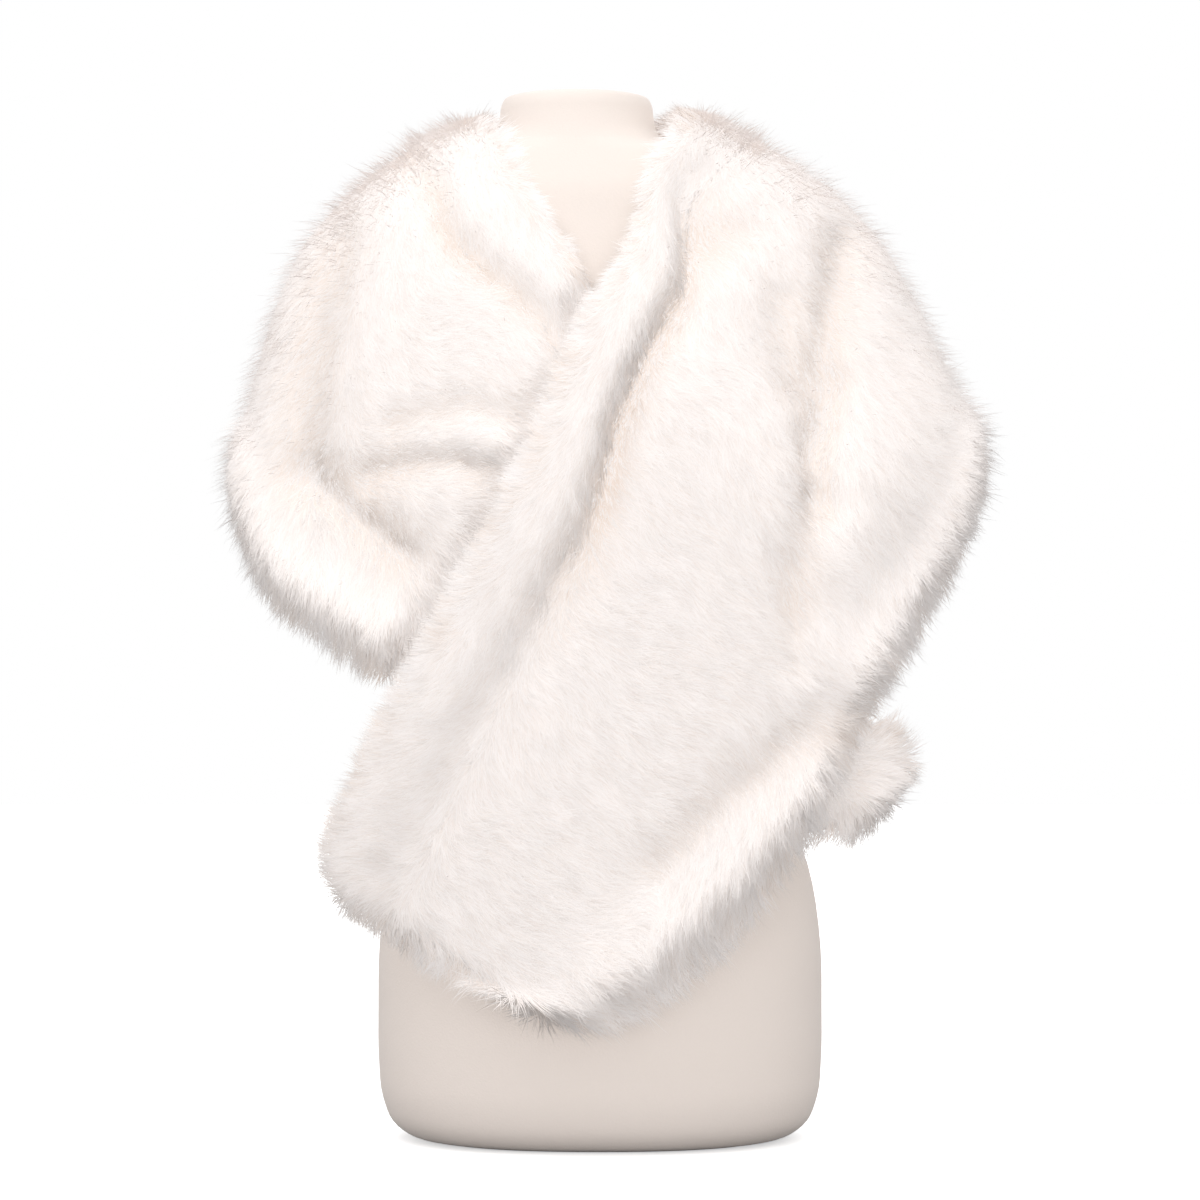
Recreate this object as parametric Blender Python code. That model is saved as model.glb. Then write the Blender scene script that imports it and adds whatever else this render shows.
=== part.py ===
"""Fur wrap crossed over a limbless dress form, in metres, +Z up.

The origin is the centre of the form's flat base. X is the viewer's right, -Y the front.
"""
import bpy
import numpy as np

# Driving dimensions
PILE = 0.022
HIDDEN_PILE = 0.0108
FOLD_SPREAD = 1.6
FOLD_SHARE = 0.8
COLLAR_REACH = 0.016
HEM_REACH = 0.034
HEM_ROLL = 0.006
HEM_ROLL_PLACE = 0.040
HEM_ROLL_SPREAD = 0.018
RIM_FLAT = 0.15
SEAM_GAP = 0.0003
COVER_MARGIN = 0.007
COVER_BLEND = 0.026
STATION_STEP = 0.0185
PANEL_COLUMNS = 15
COLLAR_COLUMNS = 4
FORM_SIDES = 44

# Rings of the surface the wrap hangs on, from the neck down: height, half width, front depth,
# back depth and sideways shift of the ring's centre
DRAPE_RINGS = np.array((
    (0.7700, 0.064, 0.064, 0.068, -0.0175),
    (0.7670, 0.088, 0.068, 0.073, -0.0150),
    (0.7570, 0.113, 0.073, 0.080, -0.0110),
    (0.7250, 0.157, 0.083, 0.093, -0.0065),
    (0.6790, 0.203, 0.094, 0.105, -0.0050),
    (0.6400, 0.224, 0.104, 0.111, -0.0030),
    (0.5920, 0.243, 0.115, 0.116, 0.0010),
    (0.5450, 0.260, 0.124, 0.119, 0.0060),
    (0.5000, 0.274, 0.129, 0.121, 0.0080),
    (0.4400, 0.274, 0.131, 0.123, 0.0080),
    (0.3700, 0.264, 0.132, 0.124, 0.0060),
    (0.3000, 0.248, 0.132, 0.124, 0.0030),
    (0.2200, 0.229, 0.131, 0.124, 0.0000),
    (0.1400, 0.212, 0.130, 0.123, 0.0000),
    (0.0600, 0.200, 0.129, 0.122, 0.0000),
))

# The wrap as one long strip, a row for each section across it, from the covered end to the free end:
# run along the flat strip, angle and drop of the neck-side edge, angle and drop of the hem, share of the
# section taken by the collar, the collar's pile, and lift off the drape surface. Angles are in degrees
# from the viewer's right through the front. Drops are measured down the surface from its top ring.
STRIP = np.array((
    (0.000, 25.5, 0.567, 26.5, 0.590, 0.00, 0.028, 0.000),
    (0.022, 30.0, 0.550, 34.0, 0.621, 0.00, 0.028, 0.000),
    (0.060, 40.0, 0.532, 47.0, 0.635, 0.00, 0.028, 0.000),
    (0.115, 55.0, 0.492, 63.0, 0.638, 0.00, 0.028, 0.000),
    (0.185, 70.0, 0.420, 79.0, 0.632, 0.00, 0.028, 0.000),
    (0.240, 79.0, 0.340, 92.0, 0.614, 0.00, 0.028, 0.000),
    (0.280, 82.0, 0.298, 100.0, 0.598, 0.20, 0.028, 0.000),
    (0.310, 84.0, 0.270, 107.0, 0.580, 0.20, 0.028, 0.000),
    (0.375, 89.0, 0.215, 125.0, 0.521, 0.20, 0.028, 0.000),
    (0.430, 93.0, 0.186, 139.0, 0.486, 0.17, 0.028, 0.000),
    (0.485, 101.0, 0.136, 151.0, 0.459, 0.20, 0.026, 0.000),
    (0.535, 112.0, 0.086, 162.0, 0.427, 0.22, 0.024, 0.000),
    (0.590, 124.0, 0.043, 171.0, 0.391, 0.21, 0.020, 0.000),
    (0.645, 150.0, 0.016, 178.0, 0.370, 0.18, 0.018, 0.000),
    (0.700, 180.0, 0.004, 187.0, 0.373, 0.16, 0.019, 0.000),
    (0.820, 225.0, 0.003, 226.0, 0.442, 0.15, 0.022, 0.000),
    (0.940, 270.0, 0.002, 270.0, 0.480, 0.15, 0.024, 0.000),
    (1.060, 315.0, 0.003, 314.0, 0.442, 0.15, 0.024, 0.000),
    (1.180, 360.0, 0.006, 353.0, 0.360, 0.15, 0.024, 0.000),
    (1.235, 390.0, 0.019, 363.0, 0.356, 0.14, 0.026, 0.000),
    (1.285, 416.0, 0.050, 372.0, 0.372, 0.13, 0.028, 0.000),
    (1.330, 432.0, 0.084, 381.0, 0.408, 0.13, 0.028, 0.000),
    (1.370, 438.0, 0.127, 388.0, 0.440, 0.14, 0.028, 0.001),
    (1.410, 442.0, 0.170, 394.0, 0.468, 0.165, 0.029, 0.006),
    (1.460, 450.0, 0.222, 401.0, 0.506, 0.16, 0.030, 0.013),
    (1.515, 456.0, 0.275, 406.0, 0.556, 0.16, 0.030, 0.013),
    (1.580, 462.0, 0.342, 411.5, 0.618, 0.185, 0.030, 0.013),
    (1.645, 470.0, 0.415, 420.0, 0.680, 0.20, 0.030, 0.013),
    (1.720, 482.0, 0.505, 434.0, 0.736, 0.24, 0.030, 0.013),
    (1.790, 495.0, 0.590, 444.0, 0.764, 0.28, 0.030, 0.013),
    (1.840, 503.0, 0.648, 452.0, 0.772, 0.30, 0.030, 0.013),
    (1.868, 500.0, 0.690, 465.0, 0.757, 0.30, 0.028, 0.013),
))
COVERED_SEAM = 0.700
NAPE_SEAM = 0.940
OVER_SEAM = 1.180
COLLAR_END = 0.285

# The dip along the collar's seam: run, share of the fur's height, and how far it reaches
CREASES = np.array((
    (0.000, 0.20, 0.016),
    (0.400, 0.26, 0.015),
    (0.540, 0.32, 0.014),
    (0.700, 0.22, 0.017),
    (0.940, 0.20, 0.018),
    (1.200, 0.14, 0.020),
    (1.310, 0.14, 0.020),
    (1.370, 0.32, 0.014),
    (1.440, 0.42, 0.012),
    (1.520, 0.42, 0.012),
    (1.590, 0.30, 0.015),
    (1.660, 0.20, 0.020),
    (1.750, 0.12, 0.024),
    (1.868, 0.08, 0.026),
))

# Folds, a row for each: panel it is on, three points as x and z, half width and height (below zero for a
# trough). Panel 0 is the right front, 1 the left front and 2 the back.
FOLDS = np.array((
    (1, 0.173, 0.680, 0.156, 0.575, 0.152, 0.490, 0.012, -0.008),
    (1, 0.152, 0.490, 0.134, 0.440, 0.133, 0.375, 0.012, -0.006),
    (1, 0.180, 0.480, 0.235, 0.540, 0.255, 0.590, 0.030, 0.005),
    (1, 0.172, 0.576, 0.164, 0.545, 0.150, 0.523, 0.009, -0.004),
    (1, 0.128, 0.637, 0.126, 0.610, 0.134, 0.577, 0.011, -0.004),
    (1, 0.070, 0.710, 0.076, 0.690, 0.074, 0.670, 0.012, -0.004),
    (1, 0.150, 0.375, 0.158, 0.372, 0.166, 0.368, 0.020, 0.006),
    (1, 0.036, 0.216, 0.090, 0.275, 0.182, 0.348, 0.014, -0.005),
    (1, 0.000, 0.150, 0.102, 0.246, 0.140, 0.276, 0.018, 0.006),
    (1, -0.170, 0.245, -0.140, 0.258, -0.120, 0.264, 0.010, -0.006),
    (0, -0.190, 0.684, -0.210, 0.590, -0.212, 0.510, 0.014, -0.007),
    (0, -0.212, 0.510, -0.160, 0.466, -0.146, 0.450, 0.014, -0.006),
    (0, -0.168, 0.508, -0.118, 0.517, -0.072, 0.500, 0.010, -0.006),
    (0, -0.150, 0.542, -0.100, 0.552, -0.058, 0.548, 0.011, -0.004),
    (0, -0.130, 0.525, -0.078, 0.526, -0.060, 0.526, 0.012, 0.004),
    (0, -0.235, 0.440, -0.200, 0.415, -0.162, 0.390, 0.016, 0.005),
    (2, -0.105, 0.690, -0.128, 0.590, -0.120, 0.450, 0.016, -0.007),
    (2, 0.085, 0.690, 0.120, 0.580, 0.128, 0.450, 0.016, -0.007),
    (2, -0.055, 0.690, -0.030, 0.560, -0.045, 0.430, 0.020, 0.005),
    (2, 0.020, 0.680, 0.045, 0.560, 0.030, 0.430, 0.018, -0.004),
    (2, -0.200, 0.480, 0.000, 0.415, 0.200, 0.480, 0.014, -0.004),
))

# Rings of the dress form, from the base up: height, half width, front depth, back depth, sideways shift
# and fullness of the ring's corners
FORM_RINGS = np.array((
    (0.0000, 0.130, 0.084, 0.080, 0.0000, 2.3),
    (0.0040, 0.147, 0.098, 0.094, 0.0000, 2.3),
    (0.0140, 0.1600, 0.1080, 0.104, 0.0000, 2.3),
    (0.0320, 0.1675, 0.1140, 0.110, 0.0000, 2.3),
    (0.0600, 0.1705, 0.1165, 0.1135, 0.0000, 2.3),
    (0.1000, 0.1710, 0.1170, 0.1150, 0.0000, 2.3),
    (0.1500, 0.1700, 0.1155, 0.1145, 0.0000, 2.3),
    (0.2100, 0.1610, 0.1100, 0.1080, -0.0005, 2.3),
    (0.2650, 0.1400, 0.1000, 0.0950, -0.0020, 2.3),
    (0.3200, 0.1215, 0.0920, 0.0860, -0.0035, 2.3),
    (0.3700, 0.1225, 0.0960, 0.0860, -0.0045, 2.3),
    (0.4200, 0.1295, 0.1080, 0.0900, -0.0055, 2.3),
    (0.4650, 0.1360, 0.1215, 0.0945, -0.0060, 2.3),
    (0.5000, 0.1385, 0.1250, 0.0985, -0.0065, 2.3),
    (0.5450, 0.1400, 0.1195, 0.1035, -0.0070, 2.3),
    (0.5920, 0.1450, 0.1100, 0.1080, -0.0075, 2.2),
    (0.6400, 0.1620, 0.1010, 0.1070, -0.0080, 2.1),
    (0.6750, 0.1760, 0.0925, 0.1020, -0.0060, 2.0),
    (0.7000, 0.1740, 0.0870, 0.0975, -0.0060, 2.0),
    (0.7250, 0.1559, 0.0820, 0.0920, -0.0065, 2.0),
    (0.7410, 0.1363, 0.0755, 0.0860, -0.0081, 2.0),
    (0.7545, 0.1155, 0.0690, 0.0792, -0.0103, 2.0),
    (0.7615, 0.0850, 0.0655, 0.0690, -0.0145, 2.0),
    (0.7665, 0.0690, 0.0632, 0.0635, -0.0165, 2.0),
    (0.7740, 0.0620, 0.0605, 0.0605, -0.0175, 2.0),
    (0.7860, 0.0595, 0.0572, 0.0590, -0.0180, 2.0),
    (0.7960, 0.0580, 0.0550, 0.0580, -0.0180, 2.0),
    (0.8005, 0.0555, 0.0525, 0.0555, -0.0180, 2.0),
    (0.8025, 0.0500, 0.0470, 0.0500, -0.0180, 2.0),
))


def spline(table, at):
    """Smooth rows of a table between its knots in column 0, with slopes weighted by knot distance."""
    knots, values, at = table[:, 0], table[:, 1:], np.asarray(at, dtype=float)
    steps = np.diff(knots)
    rises = np.diff(values, axis=0) / steps[:, None]
    slopes = np.vstack((rises[:1], np.zeros_like(rises[1:]), rises[-1:]))
    weights = steps[1:] + steps[:-1]
    slopes[1:-1] = (rises[1:] * steps[:-1, None] + rises[:-1] * steps[1:, None]) / weights[:, None]
    index = np.clip(np.searchsorted(knots, at, side="right") - 1, 0, len(steps) - 1)
    step = steps[index][..., None]
    t = ((at - knots[index])[..., None]) / step
    start = (2 * t ** 3 - 3 * t ** 2 + 1) * values[index] + (t ** 3 - 2 * t ** 2 + t) * step * slopes[index]
    end = (3 * t ** 2 - 2 * t ** 3) * values[index + 1] + (t ** 3 - t ** 2) * step * slopes[index + 1]
    return start + end


ring_steps = np.hypot(np.diff(DRAPE_RINGS[:, 0]), np.diff(DRAPE_RINGS[:, 1]))
drape_table = np.column_stack((np.concatenate(([0.0], np.cumsum(ring_steps))), DRAPE_RINGS))


def drape_point(angle, drop):
    """Point of the drape surface: an ellipse of half width and front or back depth at each drop."""
    ring = spline(drape_table, drop)
    turn = np.radians(angle)
    depth = np.where(np.sin(turn) > 0, ring[..., 2], ring[..., 3])
    return np.stack((ring[..., 4] + ring[..., 1] * np.cos(turn), -depth * np.sin(turn), ring[..., 0]), axis=-1)


def drape_normal(angle, drop):
    """Outward unit normal of the drape surface, from its slopes round and down."""
    around = drape_point(angle + 0.2, drop) - drape_point(angle - 0.2, drop)
    down = drape_point(angle, drop + 0.001) - drape_point(angle, np.maximum(drop - 0.001, 0.0))
    cross = np.cross(around, down)
    return cross / np.linalg.norm(cross, axis=-1, keepdims=True)


def smooth(value):
    """Smooth step of a value clipped to 0..1."""
    value = np.clip(value, 0.0, 1.0)
    return value * value * (3.0 - 2.0 * value)


def rim(distance, reach):
    """Quarter ellipse that rises from 0 at an edge to 1 at the rim's reach."""
    return np.sqrt(1.0 - (1.0 - np.clip(distance / reach, 0.0, 1.0)) ** 2)


def section_point(run, across):
    """Angle and drop at a share of the way across the strip."""
    row = spline(STRIP, run)
    angle = row[..., 0] + (row[..., 2] - row[..., 0]) * across
    drop = row[..., 1] + (row[..., 3] - row[..., 1]) * across
    return angle, drop


def section_width(run):
    """Length of each section over the drape surface."""
    shares = np.linspace(0.0, 1.0, 25)
    angle, drop = section_point(np.asarray(run)[:, None], shares[None, :])
    points = drape_point(angle, drop)
    return np.linalg.norm(np.diff(points, axis=1), axis=-1).sum(axis=1)


def cover_outline():
    """Closed outline of the left front on the drape surface, as angle and drop."""
    runs = np.linspace(1.30, STRIP[-1, 0], 90)
    shares = np.linspace(0.0, 1.0, 30)
    inner = np.stack(section_point(runs, 0.0 * runs), axis=-1)
    end = np.stack(section_point(0.0 * shares + runs[-1], shares), axis=-1)
    outer = np.stack(section_point(runs[::-1], 0.0 * runs + 1.0), axis=-1)
    start = np.stack(section_point(0.0 * shares + runs[0], shares[::-1]), axis=-1)
    return np.concatenate((inner, end, outer, start)) - np.array((360.0, 0.0))


def cover_distance(angle, drop):
    """Distance to the left front's outline over the drape surface, below zero under it."""
    outline = cover_outline()
    points, edge = drape_point(angle, drop), drape_point(outline[:, 0], outline[:, 1])
    distance = np.full(angle.shape, 1.0)
    inside = np.zeros(angle.shape, dtype=bool)
    for index in range(len(outline)):
        (a0, d0), (a1, d1) = outline[index - 1], outline[index]
        distance = np.minimum(distance, np.linalg.norm(points - edge[index], axis=-1))
        if d0 != d1:
            crosses = (drop >= min(d0, d1)) & (drop < max(d0, d1))
            inside ^= crosses & (angle < a0 + (drop - d0) * (a1 - a0) / (d1 - d0))
    return np.where(inside, -distance, distance)


def fold_relief(points, panel):
    """Sum of bell-shaped ridges and troughs along the panel's folds, seen from the front."""
    relief = np.zeros(points.shape[:-1])
    side = smooth(points[..., 1] / (0.05 if panel == 2 else -0.05))
    flat = points[..., (0, 2)]
    for fold in FOLDS[FOLDS[:, 0] == panel]:
        corners = fold[1:7].reshape(3, 2)
        nearest = np.full(relief.shape, 1.0)
        for first, last in zip(corners[:-1], corners[1:]):
            span = last - first
            share = np.clip(((flat - first) @ span) / (span @ span), 0.0, 1.0)
            gap = np.linalg.norm(flat - first - share[..., None] * span, axis=-1)
            nearest = np.minimum(nearest, gap)
        relief += FOLD_SHARE * fold[8] * np.exp(-(nearest / (FOLD_SPREAD * fold[7])) ** 2)
    return relief * side


def stations(start, stop, step, rim_start, rim_stop):
    """Runs from start to stop, closer together at an end that has a rounded rim."""
    close = np.array((0.0, 0.003, 0.010, 0.021))
    first = start + close if rim_start else np.array((start,))
    last = stop - close[::-1] if rim_stop else np.array((stop,))
    lead, tail = (HEM_REACH if rim_start else step), (HEM_REACH if rim_stop else step)
    count = max(int(round((stop - tail - start - lead) / step)), 1) + 1
    return np.concatenate((first, np.linspace(start + lead, stop - tail, count), last))


def close_slab(name, top, bottom, material):
    """Closed body between a grid of top points and a grid of bottom points of the same shape."""
    rows, columns = top.shape[:2]
    grid = np.arange(rows * columns).reshape(rows, columns)
    corners = (grid[:-1, :-1], grid[1:, :-1], grid[1:, 1:], grid[:-1, 1:])
    upper = np.stack(corners, axis=-1).reshape(-1, 4)
    under = rows * columns
    lower = upper[:, ::-1] + under
    forward = (np.stack((grid[0, :-1], grid[0, 1:]), axis=-1), np.stack((grid[:-1, -1], grid[1:, -1]), axis=-1))
    backward = (np.stack((grid[-1, :-1], grid[-1, 1:]), axis=-1), np.stack((grid[:-1, 0], grid[1:, 0]), axis=-1))
    first, second = np.concatenate(forward).T
    walls = [np.stack((first, second, first + under), axis=-1)]
    walls.append(np.stack((second, second + under, first + under), axis=-1))
    first, second = np.concatenate(backward).T
    walls.append(np.stack((second, first, first + under), axis=-1))
    walls.append(np.stack((second, first + under, second + under), axis=-1))
    faces = np.concatenate((upper, lower)).tolist() + np.concatenate(walls).tolist()
    mesh = bpy.data.meshes.new(name)
    vertices = np.concatenate((top.reshape(-1, 3), bottom.reshape(-1, 3)))
    mesh.from_pydata(vertices.tolist(), [], faces)
    mesh.shade_smooth()
    mesh.set_sharp_from_angle(angle=0.9)
    mesh.materials.append(material)
    piece = bpy.data.objects.new(name, mesh)
    bpy.context.scene.collection.objects.link(piece)
    return piece


def lay_panel(name, runs, panel, rim_start, rim_stop, material):
    """Fur panel from the collar's crease to the hem."""
    row, width = spline(STRIP, runs), section_width(runs)
    inner = row[:, 4] + 0.5 * SEAM_GAP / width
    fitted = np.minimum(1.0, 0.5 * (1.0 - row[:, 4]) * width / HEM_REACH)[:, None]
    close = np.array((HEM_REACH, 0.021, 0.010, 0.003, 0.0))[None, :] * fitted
    shares = np.linspace(0.0, 1.0, PANEL_COLUMNS)[None, :]
    body = inner[:, None] + (1.0 - close[:, :1] / width[:, None] - inner[:, None]) * shares
    across = np.concatenate((body, 1.0 - close[:, 1:] / width[:, None]), axis=1)
    angle, drop = section_point(runs[:, None], across)
    points, normals = drape_point(angle, drop), drape_normal(angle, drop)
    to_hem = (1.0 - across) * width[:, None]
    to_neck = (across + 20.0 * row[:, 4, None]) * width[:, None]
    edge = rim(to_hem, HEM_REACH * fitted) * rim(to_neck, HEM_REACH * fitted)
    if rim_start:
        edge = edge * rim(runs - runs[0], HEM_REACH)[:, None]
    if rim_stop:
        edge = edge * rim(runs[-1] - runs, HEM_REACH)[:, None]
    depth, reach = np.moveaxis(spline(CREASES, runs), -1, 0)[..., None]
    crease = np.exp(-((across - row[:, 4, None]) * width[:, None] / reach) ** 2)
    roll = HEM_ROLL * np.exp(-((to_hem - HEM_ROLL_PLACE) / HEM_ROLL_SPREAD) ** 2)
    pile = PILE * (1.0 - depth * crease) + roll + fold_relief(points, panel)
    if panel == 0:
        shown = smooth((cover_distance(angle, drop) - COVER_MARGIN) / COVER_BLEND)
        pile = HIDDEN_PILE + (pile - HIDDEN_PILE) * shown
    middle = 0.42 * pile
    above = middle + 0.5 * RIM_FLAT * pile + (0.58 - 0.5 * RIM_FLAT) * pile * edge
    below = (middle - 0.5 * RIM_FLAT * pile) * (1.0 - edge)
    lift = row[:, 6, None]
    top = points + normals * (lift + above)[..., None]
    bottom = points + normals * (lift + below)[..., None]
    return close_slab(name, top, bottom, material)


def lay_collar(name, runs, covered, rim_start, rim_stop, material):
    """Rolled collar from the neck-side edge to the crease."""
    row, width = spline(STRIP, runs), section_width(runs)
    outer = row[:, 4] - 0.5 * SEAM_GAP / width
    close = np.array((0.0, 0.003, 0.008, COLLAR_REACH))
    shares = np.linspace(0.0, 1.0, COLLAR_COLUMNS)[None, :]
    body = close[3] / width[:, None] + (outer - close[3] / width)[:, None] * shares
    across = np.concatenate((close[None, :3] / width[:, None], body), axis=1)
    angle, drop = section_point(runs[:, None], across)
    points, normals = drape_point(angle, drop), drape_normal(angle, drop)
    edge = rim(across * width[:, None], COLLAR_REACH)
    if rim_start:
        edge = edge * rim(runs - runs[0], HEM_REACH)[:, None]
    if rim_stop:
        edge = edge * rim(runs[-1] - runs, HEM_REACH)[:, None]
    depth, reach = np.moveaxis(spline(CREASES, runs), -1, 0)[..., None]
    crease = np.exp(-((row[:, 4, None] - across) * width[:, None] / reach) ** 2)
    crown = row[:, 5, None]
    pile = crown + (PILE * (1.0 - depth) - crown) * crease
    if covered:
        shown = smooth((cover_distance(angle, drop) - COVER_MARGIN) / COVER_BLEND)
        pile = HIDDEN_PILE + (pile - HIDDEN_PILE) * shown
    middle = 0.42 * pile
    above = middle + 0.5 * RIM_FLAT * pile + (0.58 - 0.5 * RIM_FLAT) * pile * edge
    below = (middle - 0.5 * RIM_FLAT * pile) * (1.0 - edge)
    lift = row[:, 6, None]
    top = points + normals * (lift + above)[..., None]
    bottom = points + normals * (lift + below)[..., None]
    return close_slab(name, top, bottom, material)


def turn_form(name, material):
    """Dress form: rings of rounded outline joined from the flat base to the neck's cap."""
    rings = []
    turns = np.linspace(0.0, 2.0 * np.pi, FORM_SIDES, endpoint=False)
    for height, half, front, back, shift, fullness in FORM_RINGS:
        cosine, sine = np.cos(turns), np.sin(turns)
        x = np.sign(cosine) * np.abs(cosine) ** (2.0 / fullness) * half + shift
        depth = np.where(sine > 0, front, back)
        y = -np.sign(sine) * np.abs(sine) ** (2.0 / fullness) * depth
        rings.append(np.stack((x, y, np.full_like(x, height)), axis=-1))
    vertices = np.concatenate(rings)
    count = FORM_SIDES
    faces = [tuple(range(count)), tuple(range(len(vertices) - 1, len(vertices) - count - 1, -1))]
    for ring in range(len(rings) - 1):
        for side in range(count):
            low, next_low = ring * count + side, ring * count + (side + 1) % count
            faces.append((low, low + count, next_low + count, next_low))
    mesh = bpy.data.meshes.new(name)
    mesh.from_pydata(vertices.tolist(), [], faces)
    mesh.shade_smooth()
    mesh.set_sharp_from_angle(angle=0.9)
    mesh.materials.append(material)
    form = bpy.data.objects.new(name, mesh)
    bpy.context.scene.collection.objects.link(form)
    return form


def make_material(name, colour, roughness):
    """Plain Principled material."""
    material = bpy.data.materials.new(name)
    material.use_nodes = True
    shader = material.node_tree.nodes["Principled BSDF"]
    shader.inputs["Base Color"].default_value = (*colour, 1.0)
    shader.inputs["Roughness"].default_value = roughness
    shader.inputs["Metallic"].default_value = 0.0
    return material


for existing in list(bpy.data.objects):
    bpy.data.objects.remove(existing, do_unlink=True)

fur = make_material("cream_fur", (0.86, 0.83, 0.80), 0.90)
jersey = make_material("cream_jersey", (0.80, 0.72, 0.66), 0.85)

end = STRIP[-1, 0]
under_runs = stations(0.0, COVERED_SEAM, STATION_STEP, True, False)
first_back_runs = stations(COVERED_SEAM, NAPE_SEAM, STATION_STEP, False, False)
second_back_runs = stations(NAPE_SEAM, OVER_SEAM, STATION_STEP, False, False)
over_runs = stations(OVER_SEAM, end, STATION_STEP, False, True)


def trimmed(runs, start_gap, stop_gap):
    """Runs moved in by half a seam's gap at the ends that are sewn."""
    trimmed_runs = runs.copy()
    trimmed_runs[0] += start_gap
    trimmed_runs[-1] -= stop_gap
    return trimmed_runs


gap = 2.0 * SEAM_GAP
back_runs = np.concatenate((first_back_runs, second_back_runs[1:]))
lay_panel("right_front", trimmed(under_runs, 0.0, gap), 0, True, False, fur)
lay_panel("back", trimmed(back_runs, gap, gap), 2, False, False, fur)
lay_panel("left_front", trimmed(over_runs, gap, 0.0), 1, False, True, fur)

right_collar_runs = np.concatenate((under_runs[under_runs > COLLAR_END], first_back_runs[1:]))
left_collar_runs = np.concatenate((second_back_runs, over_runs[1:]))
lay_collar("collar_right", trimmed(right_collar_runs, 0.0, gap), True, True, False, fur)
lay_collar("collar_left", trimmed(left_collar_runs, gap, 0.0), False, False, True, fur)
turn_form("dress_form", jersey)
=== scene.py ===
import bpy
import numpy as np
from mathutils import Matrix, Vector


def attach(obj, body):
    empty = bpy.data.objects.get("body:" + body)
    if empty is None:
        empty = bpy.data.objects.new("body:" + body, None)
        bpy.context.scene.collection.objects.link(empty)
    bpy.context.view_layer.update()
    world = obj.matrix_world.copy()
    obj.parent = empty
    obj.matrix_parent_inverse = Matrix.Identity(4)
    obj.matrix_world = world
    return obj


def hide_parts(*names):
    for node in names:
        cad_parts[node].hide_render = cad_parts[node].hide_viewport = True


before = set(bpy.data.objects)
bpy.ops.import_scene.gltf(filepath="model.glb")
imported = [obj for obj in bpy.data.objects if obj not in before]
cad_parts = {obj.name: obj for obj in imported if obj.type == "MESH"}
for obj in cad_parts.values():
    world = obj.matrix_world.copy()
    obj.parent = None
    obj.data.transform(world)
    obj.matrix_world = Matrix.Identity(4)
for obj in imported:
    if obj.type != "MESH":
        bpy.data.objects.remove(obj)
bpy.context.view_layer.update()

print("frame loaded")


# Shape of the wrap, in metres
wrap = {
    "pile": 0.022,  # fur height over the surface that the wrap hangs on
    "hiddenPile": 0.0108,  # the same, squeezed under the crossed front
    "foldSpread": 1.45,  # times the half widths in the table of folds
    "foldShare": 0.95,  # times their heights
    "foldFade": 0.05,  # the folds of a side fade out over this depth
    "collarReach": 0.016,  # rounded rim on the neck side
    "narrowCollar": 0.15,  # share under which a panel's own neck edge needs its inset
    "neckRows": 20.0,  # how fast a panel's rim on the neck side fades where the collar starts
    "hemReach": 0.034,  # rounded rim at the hem
    "hemRoll": 0.006,  # swell beside the hem: height, distance from the edge, half width
    "hemRollPlace": 0.040,
    "hemRollSpread": 0.018,
    "rimShare": 0.495,  # height left at a rim's very edge, as a share
    # painted shade: the fur in the collar's crease is darkened and warmed from this dip on, in full at this
    # plus the span
    "creaseStart": 0.15,  # a dip deeper than this share tints its fur, fully when deeper by the span
    "creaseSpan": 0.2,
    "coverMargin": 0.007,  # the pile rises from hidden to full this far outside the crossed front
    "coverBlend": 0.026,
    "coverStart": 1.30,  # run from which the crossed front covers anything
    "coverReach": 0.03,  # deeper under it than this the fur is thinned to the hidden share
    "coveredShare": 0.12,
    "hiddenShare": 0.03,
    "coveredSeam": 0.700,  # runs at which the pieces are sewn together
    "napeSeam": 0.940,
    "overSeam": 1.180,
    "collarEnd": 0.285,
    "seamGap": 0.0006,
    "farOff": 9.0,  # distance that stands for no free end
}

# Rings of the surface the wrap hangs on: height, half width, front depth, back depth, sideways shift
drapeRings = np.array((
    (0.77, 0.064, 0.064, 0.068, -0.0175),
    (0.767, 0.088, 0.068, 0.073, -0.015),
    (0.757, 0.113, 0.073, 0.08, -0.011),
    (0.725, 0.157, 0.083, 0.093, -0.0065),
    (0.679, 0.203, 0.094, 0.105, -0.005),
    (0.64, 0.224, 0.104, 0.111, -0.003),
    (0.592, 0.243, 0.115, 0.116, 0.001),
    (0.545, 0.26, 0.124, 0.119, 0.006),
    (0.5, 0.274, 0.129, 0.121, 0.008),
    (0.44, 0.274, 0.131, 0.123, 0.008),
    (0.37, 0.264, 0.132, 0.124, 0.006),
    (0.3, 0.248, 0.132, 0.124, 0.003),
    (0.22, 0.229, 0.131, 0.124, 0.0),
    (0.14, 0.212, 0.13, 0.123, 0.0),
    (0.06, 0.2, 0.129, 0.122, 0.0),
))

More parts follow.
